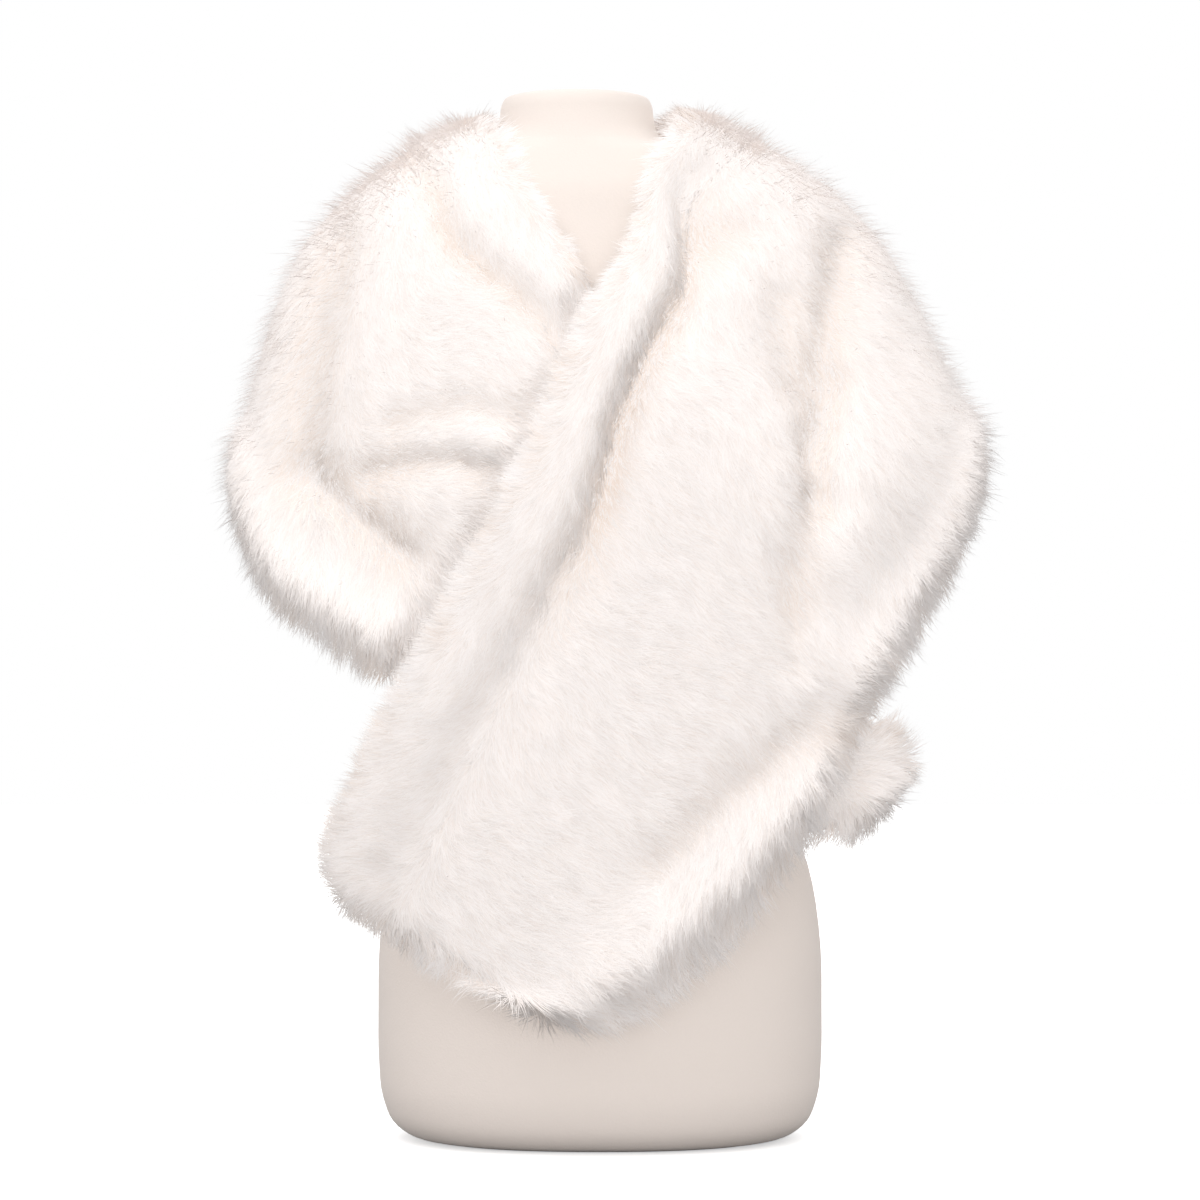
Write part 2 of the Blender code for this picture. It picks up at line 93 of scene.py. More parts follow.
# The wrap as one strip, a row for each section: run, angle and drop of the neck-side edge, angle and drop
# of the hem, the collar's share of the section, the collar's pile, lift off the surface
strip = np.array((
    (0.0, 25.5, 0.567, 26.5, 0.59, 0.0, 0.028, 0.0),
    (0.022, 30.0, 0.55, 34.0, 0.621, 0.0, 0.028, 0.0),
    (0.06, 40.0, 0.532, 47.0, 0.635, 0.0, 0.028, 0.0),
    (0.115, 55.0, 0.492, 63.0, 0.638, 0.0, 0.028, 0.0),
    (0.185, 70.0, 0.42, 79.0, 0.632, 0.0, 0.028, 0.0),
    (0.24, 79.0, 0.34, 92.0, 0.614, 0.0, 0.028, 0.0),
    (0.28, 82.0, 0.298, 100.0, 0.598, 0.2, 0.028, 0.0),
    (0.31, 84.0, 0.27, 107.0, 0.58, 0.2, 0.028, 0.0),
    (0.375, 89.0, 0.215, 125.0, 0.521, 0.2, 0.028, 0.0),
    (0.43, 93.0, 0.186, 139.0, 0.486, 0.17, 0.028, 0.0),
    (0.485, 101.0, 0.136, 151.0, 0.459, 0.2, 0.026, 0.0),
    (0.535, 112.0, 0.086, 162.0, 0.427, 0.22, 0.024, 0.0),
    (0.59, 124.0, 0.043, 171.0, 0.391, 0.21, 0.02, 0.0),
    (0.645, 150.0, 0.016, 178.0, 0.37, 0.18, 0.018, 0.0),
    (0.7, 180.0, 0.004, 187.0, 0.373, 0.16, 0.019, 0.0),
    (0.82, 225.0, 0.003, 226.0, 0.442, 0.15, 0.022, 0.0),
    (0.94, 270.0, 0.002, 270.0, 0.48, 0.15, 0.024, 0.0),
    (1.06, 315.0, 0.003, 314.0, 0.442, 0.15, 0.024, 0.0),
    (1.18, 360.0, 0.006, 353.0, 0.36, 0.15, 0.024, 0.0),
    (1.235, 390.0, 0.019, 363.0, 0.356, 0.14, 0.026, 0.0),
    (1.285, 416.0, 0.05, 372.0, 0.372, 0.13, 0.028, 0.0),
    (1.33, 432.0, 0.084, 381.0, 0.408, 0.13, 0.028, 0.0),
    (1.37, 438.0, 0.127, 388.0, 0.44, 0.14, 0.028, 0.001),
    (1.41, 442.0, 0.17, 394.0, 0.468, 0.165, 0.029, 0.006),
    (1.46, 450.0, 0.222, 401.0, 0.506, 0.16, 0.03, 0.013),
    (1.515, 456.0, 0.275, 406.0, 0.556, 0.16, 0.03, 0.013),
    (1.58, 462.0, 0.342, 411.5, 0.618, 0.185, 0.03, 0.013),
    (1.645, 470.0, 0.415, 420.0, 0.68, 0.2, 0.03, 0.013),
    (1.72, 482.0, 0.505, 434.0, 0.736, 0.24, 0.03, 0.013),
    (1.79, 495.0, 0.59, 444.0, 0.764, 0.28, 0.03, 0.013),
    (1.84, 503.0, 0.648, 452.0, 0.772, 0.3, 0.03, 0.013),
    (1.868, 500.0, 0.69, 465.0, 0.757, 0.3, 0.028, 0.013),
))

# The dip along the collar's seam: run, share of the fur's height, and how far it reaches
creases = np.array((
    (0.0, 0.2, 0.016),
    (0.4, 0.26, 0.015),
    (0.54, 0.32, 0.014),
    (0.7, 0.22, 0.017),
    (0.94, 0.2, 0.018),
    (1.2, 0.14, 0.02),
    (1.31, 0.14, 0.02),
    (1.37, 0.32, 0.014),
    (1.44, 0.42, 0.012),
    (1.52, 0.42, 0.012),
    (1.59, 0.3, 0.015),
    (1.66, 0.2, 0.02),
    (1.75, 0.12, 0.024),
    (1.868, 0.08, 0.026),
))

# Creases and swells, a row for each: panel, three points as x and z, half width, height (below 0 for a
# trough). Panel 0 is the right front, 1 the left front, 2 the back.
folds = np.array((
    (1, 0.173, 0.68, 0.156, 0.575, 0.152, 0.49, 0.012, -0.008),
    (1, 0.152, 0.49, 0.134, 0.44, 0.133, 0.375, 0.012, -0.006),
    (1, 0.18, 0.48, 0.235, 0.54, 0.255, 0.59, 0.03, 0.005),
    (1, 0.172, 0.576, 0.164, 0.545, 0.15, 0.523, 0.009, -0.004),
    (1, 0.128, 0.637, 0.126, 0.61, 0.134, 0.577, 0.011, -0.004),
    (1, 0.07, 0.71, 0.076, 0.69, 0.074, 0.67, 0.012, -0.004),
    (1, 0.15, 0.375, 0.158, 0.372, 0.166, 0.368, 0.02, 0.006),
    (1, 0.036, 0.216, 0.09, 0.275, 0.182, 0.348, 0.014, -0.005),
    (1, 0.0, 0.15, 0.102, 0.246, 0.14, 0.276, 0.018, 0.006),
    (1, -0.17, 0.245, -0.14, 0.258, -0.12, 0.264, 0.01, -0.006),
    (0, -0.19, 0.684, -0.21, 0.59, -0.212, 0.51, 0.014, -0.007),
    (0, -0.212, 0.51, -0.16, 0.466, -0.146, 0.45, 0.014, -0.006),
    (0, -0.168, 0.508, -0.118, 0.517, -0.072, 0.5, 0.01, -0.006),
    (0, -0.15, 0.542, -0.1, 0.552, -0.058, 0.548, 0.011, -0.004),
    (0, -0.13, 0.525, -0.078, 0.526, -0.06, 0.526, 0.012, 0.004),
    (0, -0.235, 0.44, -0.2, 0.415, -0.162, 0.39, 0.016, 0.005),
    (0, -0.208, 0.5, -0.176, 0.476, -0.143, 0.452, 0.006, -0.003),
    (0, -0.17, 0.507, -0.13, 0.514, -0.088, 0.511, 0.005, -0.0012),
    (1, 0.046, 0.655, 0.062, 0.672, 0.1, 0.69, 0.012, -0.003),
    (2, -0.105, 0.69, -0.128, 0.59, -0.12, 0.45, 0.016, -0.007),
    (2, 0.085, 0.69, 0.12, 0.58, 0.128, 0.45, 0.016, -0.007),
    (2, -0.055, 0.69, -0.03, 0.56, -0.045, 0.43, 0.02, 0.005),
    (2, 0.02, 0.68, 0.045, 0.56, 0.03, 0.43, 0.018, -0.004),
    (2, -0.2, 0.48, 0.0, 0.415, 0.2, 0.48, 0.014, -0.004),
))

# Lie of the fur on each panel: x, z, and the way the hair points as seen from the front, in degrees (0 to
# the viewer's right, -90 down). Panel 3 is the collar.
naps = {
    1: np.array((
        (0.102, 0.721, -85), (0.079, 0.688, -60), (0.059, 0.648, -90), (0.125, 0.671, -75),
        (0.168, 0.639, -65), (0.201, 0.589, -50), (0.234, 0.557, -45), (0.25, 0.517, -40),
        (0.162, 0.547, -120), (0.053, 0.573, -35), (0.069, 0.54, -55), (0.037, 0.508, -40),
        (0.102, 0.491, -65), (-0.015, 0.436, -27), (0.018, 0.403, -25), (0.051, 0.387, -18),
        (-0.015, 0.37, -40), (-0.054, 0.343, -60), (-0.028, 0.304, -60), (0.001, 0.321, -25),
        (0.034, 0.288, -8), (-0.015, 0.288, -50), (-0.048, 0.239, -12), (0.018, 0.19, 10),
        (-0.064, 0.14, -28), (-0.028, 0.124, -15), (-0.113, 0.163, -35), (0.051, 0.173, -105),
        (0.069, 0.19, -110), (0.109, 0.239, -105), (0.267, 0.436, 10), (0.25, 0.414, -10),
        (0.227, 0.377, -30), (0.201, 0.345, -10), (0.168, 0.42, -55), (0.208, 0.426, -100),
    )),
    3: np.array((
        (0.029, 0.736, -105), (0.04, 0.68, -105), (0.004, 0.622, -120), (-0.045, 0.52, -118),
        (-0.097, 0.42, -120), (-0.113, 0.403, -125), (-0.146, 0.312, -165), (-0.154, 0.239, 180),
        (-0.197, 0.209, 180), (-0.179, 0.169, -140), (-0.1, 0.7, -65), (-0.06, 0.64, -55),
    )),
    0: np.array((
        (-0.11, 0.717, -60), (-0.161, 0.655, -75), (-0.213, 0.646, -110), (-0.113, 0.624, -5),
        (-0.065, 0.598, -30), (-0.128, 0.531, 0), (-0.238, 0.551, -110), (-0.197, 0.399, -90),
        (-0.146, 0.37, -90), (0.184, 0.297, 0), (0.217, 0.265, -30), (0.168, 0.242, -80),
    )),
}
backNap = (-115.0, -90.0, -62.0)  # the same on the back, at its two side seams and its middle


# Rows of a table between its knots in column 0: cubic curves with slopes weighted by knot distance.
def splineRows(table, at):
    knots, values, at = table[:, 0], table[:, 1:], np.asarray(at, dtype=float)
    steps = np.diff(knots)
    rises = np.diff(values, axis=0) / steps[:, None]
    slopes = np.vstack((rises[:1], np.zeros_like(rises[1:]), rises[-1:]))
    weights = steps[1:] + steps[:-1]
    slopes[1:-1] = (rises[1:] * steps[:-1, None] + rises[:-1] * steps[1:, None]) / weights[:, None]
    index = np.clip(np.searchsorted(knots, at, side="right") - 1, 0, len(steps) - 1)
    step = steps[index][..., None]
    t = ((at - knots[index])[..., None]) / step
    start = (2 * t ** 3 - 3 * t ** 2 + 1) * values[index] + (t ** 3 - 2 * t ** 2 + t) * step * slopes[index]
    end = (3 * t ** 2 - 2 * t ** 3) * values[index + 1] + (t ** 3 - t ** 2) * step * slopes[index + 1]
    return start + end


drapeSteps = np.hypot(np.diff(drapeRings[:, 0]), np.diff(drapeRings[:, 1]))
drapeTable = np.column_stack((np.concatenate(([0.0], np.cumsum(drapeSteps))), drapeRings))


# Point of the drape surface: at each drop an ellipse with its half width, and its front or back depth.
def drapePoint(angle, drop):
    ring = splineRows(drapeTable, drop)
    turn = np.radians(angle)
    depth = np.where(np.sin(turn) > 0, ring[..., 2], ring[..., 3])
    x = ring[..., 4] + ring[..., 1] * np.cos(turn)
    return np.stack((x, -depth * np.sin(turn), ring[..., 0]), axis=-1)


# Rows of vectors brought to length 1.
def unit(vectors):
    return vectors / np.maximum(np.linalg.norm(vectors, axis=-1, keepdims=True), 1e-9)


# Outward normal of the drape surface: its slope round crossed with its slope down.
def drapeNormal(angle, drop):
    turn, step = 0.2, 0.001    # degrees and metres to each side
    around = drapePoint(angle + turn, drop) - drapePoint(angle - turn, drop)
    down = drapePoint(angle, drop + step) - drapePoint(angle, np.maximum(drop - step, 0.0))
    return unit(np.cross(around, down))


# Smooth step of a value clipped to 0..1.
def smoothStep(value):
    value = np.clip(value, 0.0, 1.0)
    return value * value * (3.0 - 2.0 * value)


# Quarter ellipse that rises from 0 at an edge to 1 at the rim's reach.
def rimRise(distance, reach):
    return np.sqrt(1.0 - (1.0 - np.clip(distance / reach, 0.0, 1.0)) ** 2)


# Angle and drop at a share of the way across the strip, straight between its two edges.
def sectionPoint(run, across):
    row = splineRows(strip, run)
    angle = row[..., 0] + (row[..., 2] - row[..., 0]) * across
    drop = row[..., 1] + (row[..., 3] - row[..., 1]) * across
    return angle, drop


# Length of each section over the drape surface, summed over 24 short steps.
def sectionWidth(run):
    shares = np.linspace(0.0, 1.0, 25)
    angle, drop = sectionPoint(np.asarray(run)[:, None], shares[None, :])
    return np.linalg.norm(np.diff(drapePoint(angle, drop), axis=1), axis=-1).sum(axis=1)


# Distance to the crossed front's outline over the drape surface, below zero under it: the least over the
# outline's points, with its sign from how many sides a level line crosses.
def coverDistance(angle, drop):
    runs, shares = np.linspace(wrap["coverStart"], strip[-1, 0], 90), np.linspace(0.0, 1.0, 30)
    sides = (
        sectionPoint(runs, 0.0 * runs),
        sectionPoint(0.0 * shares + runs[-1], shares),
        sectionPoint(runs[::-1], 0.0 * runs + 1.0),
        sectionPoint(0.0 * shares + runs[0], shares[::-1]),
    )
    outline = np.concatenate([np.stack(side, axis=-1) for side in sides])
    outline = outline - np.array((360.0, 0.0))    # the left front comes a full turn after the right one
    points, edge = drapePoint(angle, drop), drapePoint(outline[:, 0], outline[:, 1])
    distance, inside = np.full(angle.shape, 1.0), np.zeros(angle.shape, dtype=bool)
    for index in range(len(outline)):
        (a0, d0), (a1, d1) = outline[index - 1], outline[index]
        distance = np.minimum(distance, np.linalg.norm(points - edge[index], axis=-1))
        if d0 != d1:
            crosses = (drop >= min(d0, d1)) & (drop < max(d0, d1))
            inside ^= crosses & (angle < a0 + (drop - d0) * (a1 - a0) / (d1 - d0))
    return np.where(inside, -distance, distance)


# Ridges and troughs along the panel's folds, summed: each a bell curve of the distance to its bent line.
def foldRelief(points, panel):
    relief = np.zeros(points.shape[:-1])
    side = smoothStep(points[..., 1] / (wrap["foldFade"] if panel == 2 else -wrap["foldFade"]))
    flat = points[..., (0, 2)]
    for fold in folds[folds[:, 0] == panel]:
        corners = fold[1:7].reshape(3, 2)
        nearest = np.full(relief.shape, 1.0)
        for first, last in zip(corners[:-1], corners[1:]):
            span = last - first
            share = np.clip(((flat - first) @ span) / (span @ span), 0.0, 1.0)
            away = np.linalg.norm(flat - first - share[..., None] * span, axis=-1)
            nearest = np.minimum(nearest, away)
        relief += wrap["foldShare"] * fold[8] * np.exp(-(nearest / (wrap["foldSpread"] * fold[7])) ** 2)
    return relief * side


# Slow changes over the strip, about -1..1: six slanting sine waves, 0.7 to 1.5 times the length, summed.
def ripple(run, place, length, seed):
    rng = np.random.default_rng(seed)
    total = np.zeros(np.broadcast(run, place).shape)
    for _ in range(6):
        turn, phase = rng.uniform(0, 2 * np.pi, 2)
        stretch = length * rng.uniform(0.7, 1.5)
        total += np.sin((run * np.cos(turn) + place * np.sin(turn)) * 2 * np.pi / stretch + phase)
    return total / 2.6


# Repeatable number 0..1 for each pair of whole numbers: the part after the point of a large sine.
def hashed(first, second, seed):
    value = np.sin(first * 127.1 + second * 311.7 + seed * 74.7) * 43758.5453
    return value - np.floor(value)


# The woven backing, a thin sheet
pelt = {
    "hemInset": 0.019,  # the pelt's edge lies this far inside the tips of the fringe
    "neckInset": 0.008,
    "rest": 0.0032,  # outer face over the drape surface
    "blend": 0.0012,  # roundness of the bend between rest and rise
    "thickness": 0.0018,
    "stand": 0.0178,  # height of the fur over the pelt
    "step": 0.0085,
    "columns": 40, "collarColumns": 10,
    "seamGap": 0.0006,
}
# The dense short wool between the long hairs, as a closed body on the pelt
underfur = {
    "hemInset": 0.0105,
    "neckInset": 0.0050,
    "share": 0.60,  # of the fur's height
    "rim": 0.020, "collarRim": 0.008,
    "middle": 0.0022,  # height over the pelt's face where top and bottom meet at an edge
    "halfEdge": 0.0004,
    "belly": 0.0016,  # how far the bottom goes down from there
    "step": 0.0105,
    "columns": 36, "collarColumns": 14,
    "seamGap": -0.003,  # laps over its neighbour
}


# Everything the cloth and its fur need on a grid of one piece: runs by shares across. The fur's height is
# the pile with its creases, rolls and rims; the pelt is that less the fur's stand, never under its rest.
def layOut(name, start, stop, rows, columns, layer):
    plan = piecePlan[name]
    collar, panel = plan["collar"], plan["panel"]
    (first, last), (rimStart, rimStop) = plan["runs"], plan["rims"]
    hemInset, neckInset = layer["hemInset"], layer["neckInset"]
    runs = np.linspace(start + (hemInset if rimStart and start == first else 0.0),
                       stop - (hemInset if rimStop and stop == last else 0.0), rows)
    row, width = splineRows(strip, runs), sectionWidth(runs)
    share, widths = row[:, 4], width[:, None]
    if collar:
        low, high = neckInset / width, share - 0.5 * layer["seamGap"] / width
    else:
        ownEdge = hemInset / width * (1.0 - smoothStep(share / wrap["narrowCollar"]))
        low, high = share + ownEdge + 0.5 * layer["seamGap"] / width, 1.0 - hemInset / width
    across = low[:, None] + (high - low)[:, None] * np.linspace(0.0, 1.0, columns)
    angle, drop = sectionPoint(runs[:, None], across)
    base, normal = drapePoint(angle, drop), drapeNormal(angle, drop)
    place = across * widths
    none = np.full((rows, 1), wrap["farOff"])
    toStart = (runs - first)[:, None] if rimStart else none
    toStop = (last - runs)[:, None] if rimStop else none
    toSeam = (across - share[:, None]) * widths
    depth, reach = np.moveaxis(splineRows(creases, runs), -1, 0)[..., None]
    crease = np.exp(-(toSeam / reach) ** 2)
    if collar:
        crown = row[:, 5, None]
        pile = crown + (wrap["pile"] * (1.0 - depth) - crown) * crease
        edge = rimRise(place, wrap["collarReach"])
        toEdge = np.minimum(place - neckInset, np.minimum(toStart, toStop) - hemInset)
    else:
        toHem = (1.0 - across) * widths
        toNeck = (across + wrap["neckRows"] * share[:, None]) * widths
        fitted = wrap["hemReach"] * np.minimum(1.0, 0.5 * (1.0 - share) * width / wrap["hemReach"])[:, None]
        roll = wrap["hemRoll"] * np.exp(-((toHem - wrap["hemRollPlace"]) / wrap["hemRollSpread"]) ** 2)
        pile = wrap["pile"] * (1.0 - depth * crease) + roll + foldRelief(base, panel)
        edge = rimRise(toHem, fitted) * rimRise(toNeck, fitted)
        toEdge = np.minimum(np.minimum(toHem, toNeck), np.minimum(toStart, toStop)) - hemInset
    edge = edge * rimRise(toStart, wrap["hemReach"]) * rimRise(toStop, wrap["hemReach"])
    shown = np.ones_like(pile)
    if panel == 0:
        cover = coverDistance(angle, drop)
        shown = smoothStep((cover - wrap["coverMargin"]) / wrap["coverBlend"])
        pile = wrap["hiddenPile"] + (pile - wrap["hiddenPile"]) * shown
        thinned = np.maximum(shown, wrap["coveredShare"])
        shown = np.where(cover > -wrap["coverReach"], thinned, wrap["hiddenShare"])
    top = (wrap["rimShare"] + (1.0 - wrap["rimShare"]) * edge) * pile
    rise = (top - pelt["stand"] - pelt["rest"]) / pelt["blend"]
    skin = pelt["rest"] + pelt["blend"] * np.logaddexp(0.0, rise)
    lift = row[:, 6, None]
    wool = rimRise(toEdge, underfur["collarRim"] if collar else underfur["rim"])
    middle = skin + underfur["middle"]
    woolTop = middle + underfur["halfEdge"] + (skin + underfur["share"] * (top - skin) - middle) * wool
    woolBottom = middle - underfur["halfEdge"] - underfur["belly"] * wool
    return {
        "toSeam": toSeam + np.where(share[:, None] > 0.02, 0.0, 1.0),  # no seam where there is no collar
        "run": runs[:, None] + 0.0 * place, "place": place, "angle": angle, "base": base, "normal": normal,
        "lift": lift + 0.0 * place, "top": top, "skin": skin, "edge": toEdge, "shown": shown,
        # crease: how much painted shade the fur gets in the collar's crease
        "crease": crease * smoothStep((depth - wrap["creaseStart"]) / wrap["creaseSpan"]),
        "woolTop": woolTop, "woolBottom": woolBottom,
    }


# Closed sheet from a grid of outer points and a grid of inner ones, joined by walls at its four edges.
def closedSheet(name, outer, inner):
    rows, columns = outer.shape[:2]
    grid = np.arange(rows * columns).reshape(rows, columns)
    under = rows * columns
    upper = np.stack((grid[:-1, :-1], grid[1:, :-1], grid[1:, 1:], grid[:-1, 1:]), axis=-1).reshape(-1, 4)
    rim = np.concatenate((grid[0, :-1], grid[:-1, -1], grid[-1, :0:-1], grid[:0:-1, 0]))
    after = np.roll(rim, -1)
    walls = np.stack((rim, after, after + under, rim + under), axis=-1)
    faces = np.concatenate((upper, upper[:, ::-1] + under, walls))
    points = np.concatenate((outer.reshape(-1, 3), inner.reshape(-1, 3)))
    mesh = bpy.data.meshes.new(name)
    mesh.from_pydata(points.tolist(), [], faces.tolist())
    mesh.shade_smooth()
    return linked(name, mesh)


# New object in the scene with the mesh, lamp or camera, at the origin.
def linked(name, data):
    piece = bpy.data.objects.new(name, data)
    bpy.context.scene.collection.objects.link(piece)
    return piece


# A socket that takes arithmetic: each operator adds a Math node. node() adds a node of any other kind, with
# its settings first, out() is another output of the same node, and into() links the value to a socket.
class Val:
    def __init__(self, tree, socket=None):
        self.tree, self.socket = tree, socket

    def node(self, kind, settings, *values, **named):
        made = self.tree.nodes.new(kind)
        for key, value in settings.items():
            if key == "ramp":
                ramp = made.color_ramp
                while len(ramp.elements) < len(value):
                    ramp.elements.new(0.5)
                for element, (place, colour) in zip(ramp.elements, value):
                    element.position, element.color = place, (*colour, 1.0)
            else:
                setattr(made, key, value)
        pairs = list(zip(made.inputs, values)) + [(made.inputs[key], value) for key, value in named.items()]
        for socket, value in pairs:
            if isinstance(value, Val):
                value.into(socket)
            else:
                socket.default_value = value
        return Val(self.tree, next(socket for socket in made.outputs if socket.enabled))

    def math(self, operation, *values):
        return self.node("ShaderNodeMath", {"operation": operation}, *values)

    def __add__(self, other):
        return self.math("ADD", self, other)

    def __radd__(self, other):
        return self.math("ADD", other, self)

    def __mul__(self, other):
        return self.math("MULTIPLY", self, other)

    def __rmul__(self, other):
        return self.math("MULTIPLY", other, self)

    def out(self, name):
        return Val(self.tree, self.socket.node.outputs[name])

    def into(self, socket):
        self.tree.links.new(self.socket, socket)


# Two colours mixed by a factor 0..1, or multiplied. A Mix node repeats its sockets' names, so they go by
# number: 0 the factor, 6 and 7 the colours, 2 the colour out.
def mixColour(shade, factor, first, second, blend="MIX"):
    made = shade.node("ShaderNodeMix", {"data_type": "RGBA", "blend_type": blend}).socket.node
    for index, value in ((0, factor), (6, first), (7, second)):
        if isinstance(value, Val):
            value.into(made.inputs[index])
        else:
            made.inputs[index].default_value = (*value, 1.0) if isinstance(value, tuple) else value
    return Val(shade.tree, made.outputs[2])


# New material with these values on its Principled shader: itself, its tree ready for nodes, the sockets.
def newMaterial(name, values):
    material = bpy.data.materials.new(name)
    material.use_nodes = True
    tree = material.node_tree
    sockets = tree.nodes["Principled BSDF"].inputs
    for key, value in values.items():
        sockets[key].default_value = value
    return material, Val(tree), sockets


furLooks = {
    # root to tip: darker and warmer at the root, painted shade deep in the coat, since the hair casts no
    # shadow
    "along": ((0.0, (0.87, 0.80, 0.76)), (0.42, (0.935, 0.872, 0.845)), (0.95, (0.985, 0.938, 0.922))),
    # by U: the first colour is the painted shade of the deepest creases, white at 1; the random tone also
    # moves along it
    "shadeAndTone": ((0.0, (0.875, 0.79, 0.715)), (1.0, (1.0, 1.0, 1.0))),  # the first in the deepest creases
    "roughness": 0.85, "specular": 0.25,
}


# Hair: its colour goes from root to tip by the map's V, darker at the root as painted shade deep in the coat,
# times painted crease shade and random tone, up to clean, by its U.
def furMaterial():
    material, shade, sockets = newMaterial("creamFur", {
        "Roughness": furLooks["roughness"], "Specular IOR Level": furLooks["specular"],
    })
    spot = shade.node("ShaderNodeUVMap", {"uv_map": "OFBake"})
    split = shade.node("ShaderNodeSeparateXYZ", {}, spot)
    along = shade.node("ShaderNodeValToRGB", {"ramp": furLooks["along"]}, split.out("Y"))
    shadeAndTone = shade.node("ShaderNodeValToRGB", {"ramp": furLooks["shadeAndTone"]}, split.out("X"))
    mixColour(shade, 1.0, along, shadeAndTone, "MULTIPLY").into(sockets["Base Color"])
    return material


peltLooks = {
    "dark": (0.72, 0.64, 0.56), "light": (0.80, 0.73, 0.65), "scale": 900.0, "detail": 2.0,
    "bump": 0.0004, "strength": 0.6, "roughness": 0.92, "sheen": 0.0,
}
# Short wool: darker and warmer than the hair's tips, partly painted shade deep in the coat; its noise is its
# grain
woolLooks = {
    "dark": (0.84, 0.77, 0.735), "light": (0.92, 0.865, 0.84), "scale": 700.0, "detail": 3.0,
    "bump": 0.0012, "strength": 0.5, "roughness": 0.95, "sheen": 0.0,
}


# Backing, short wool or jersey: a fine noise, with a coarse one where the looks have it, mixes two colours,
# and the fine one raises the bump.
def grainMaterial(name, looks):
    own = {"Roughness": looks["roughness"], "Sheen Weight": looks["sheen"]}
    material, shade, sockets = newMaterial(name, own)
    place = shade.node("ShaderNodeTexCoord", {}).out("Object")
    grain = shade.node("ShaderNodeTexNoise", {}, Vector=place, Scale=looks["scale"], Detail=looks["detail"])
    tone = grain
    if "mottle" in looks:
        scale, grainShare, mottleShare = looks["mottle"]
        mottle = shade.node("ShaderNodeTexNoise", {}, Vector=place, Scale=scale, Detail=looks["detail"])
        tone = grain * grainShare + mottle * mottleShare
    mixColour(shade, tone, looks["dark"], looks["light"]).into(sockets["Base Color"])
    bump = shade.node("ShaderNodeBump", {}, Strength=looks["strength"], Distance=looks["bump"], Height=grain)
    bump.into(sockets["Normal"])
    return material


# The hair. Angles are in degrees over the skin, lengths in metres, and a spread is a standard deviation.
hair = {
    "rows": 260, "columns": 150, "collarColumns": 90,  # grid that carries the hair
    "rootDepth": 0.0006,  # below the wool's face
    "width": 0.00058, "widths": (0.75, 1.2), "strayWidth": 0.75,
    "baseAngle": (38.0, 9.0), "baseWave": 6.0,  # mean and spread
    "tipAngle": (5.0, 8.0), "clumpTip": 10.0,
    "leastBend": 0.12, "leastRise": 0.30,
    "lengths": (0.84, 1.08), "clumpLengths": (0.88, 0.24),  # the second: least, and rise over the clumps
    "shortest": 0.007, "longest": 0.036, "standWave": 0.08,
    "longShare": 0.06, "longStretch": 1.2, "sway": 0.06, "twist": 50.0,
    # stray hairs, and more of them where the fur is ruffled, on shoulders and sides
    "strays": 0.08, "ruffledStrays": 0.18, "ruffledLength": 0.45,
    "ruffle": (0.3, 0.4, 0.5),  # how much facing up counts, where it starts, over what span
    "strayBase": (66.0, 10.0), "strayTip": (36.0, 14.0), "strayLength": 0.016,
    # the fringe at a free edge
    "fringe": 0.0220, "fringeLengths": (0.6, 1.2), "fringeAngles": (-22.0, 72.0),
    "crowd": 1.6, "crowdReach": 0.008,  # extra roots there
    "edgeReaches": (0.010, 0.022, 0.048), "fanReach": 0.024,
    "fanTurn": 0.82, "fanOut": 0.95, "edgePull": 0.42,
    "looseNeck": ((0.30, 0.45, 0.58, 1.29, 1.38, 1.55), (0.6, 0.5, 0.8, 0.8, 0.55, 0.8)),
    # clumps, and locks of several clumps
    "clump": 0.0050, "clumpPull": 0.30, "clumpTurn": 16.0,
    "lock": 0.015, "lockPull": 0.18, "lockTurn": 14.0,
    "slowTurn": 13.0, "quickTurn": 14.0, "ownTurn": 9.0,
    # waves over the strip: length and seed
    "slow": (0.055, 21), "quick": (0.016, 22), "steep": (0.03, 23), "tall": (0.028, 33),
    "ahead": (0.022, 31), "aside": (0.026, 32),
    # seams: hair lies along the collar's one, and roots are shaken over all of them
    "seamCover": 0.010, "seamFollow": 0.75, "napeReach": 0.08,
    "seamShake": (0.003, 0.008), "joinShake": (0.005, 0.012),  # spread, and how far from the seam
    "joins": np.array([wrap[key] for key in ("coveredSeam", "napeSeam", "overSeam")]),
    # shading: how far it exaggerates the folds, tilts with tufts, and leaves the coat's smooth face
    "relief": 0.7, "reliefReach": 0.03, "seamRelief": 0.6, "seamReach": 0.022, "seamRuns": (1.33, 1.43),
    "tuft": 0.06, "clumpTuft": 0.7, "roundness": 0.16, "ownFace": 0.14,
    "hemTilt": 0.8, "farTilt": 0.25,  # towards the floor on a hem that faces it
    "tiltFall": (0.9, 35.0, 1.3),  # its share for level hair, degrees that take 1 off, most
    # tone: 1 clean, 0 the deepest painted crease shade; painted shade lowers it in the collar's crease and in
    # fold hollows, and it also spreads at random
    "tone": 0.86, "toneSpread": 0.12, "creaseShade": 0.45, "deepCreaseShade": 0.4, "hollowShade": 0.45,
    "hollow": 0.006, "lockTone": 0.08, "strayTone": 0.95, "edgeTones": (0.7, 0.65, 0.4),
}
stationShares = np.array((0.0, 0.5, 1.0))
stationWidths = np.array((1.0, 0.85, 0.0))
ribbonFaces = np.array(((0, 1, 3), (0, 3, 2), (2, 3, 4)))  # left and right of two stations, then the tip
napGuide = {"blur": 0.018, "fall": 1.6, "highDrop": 0.3}


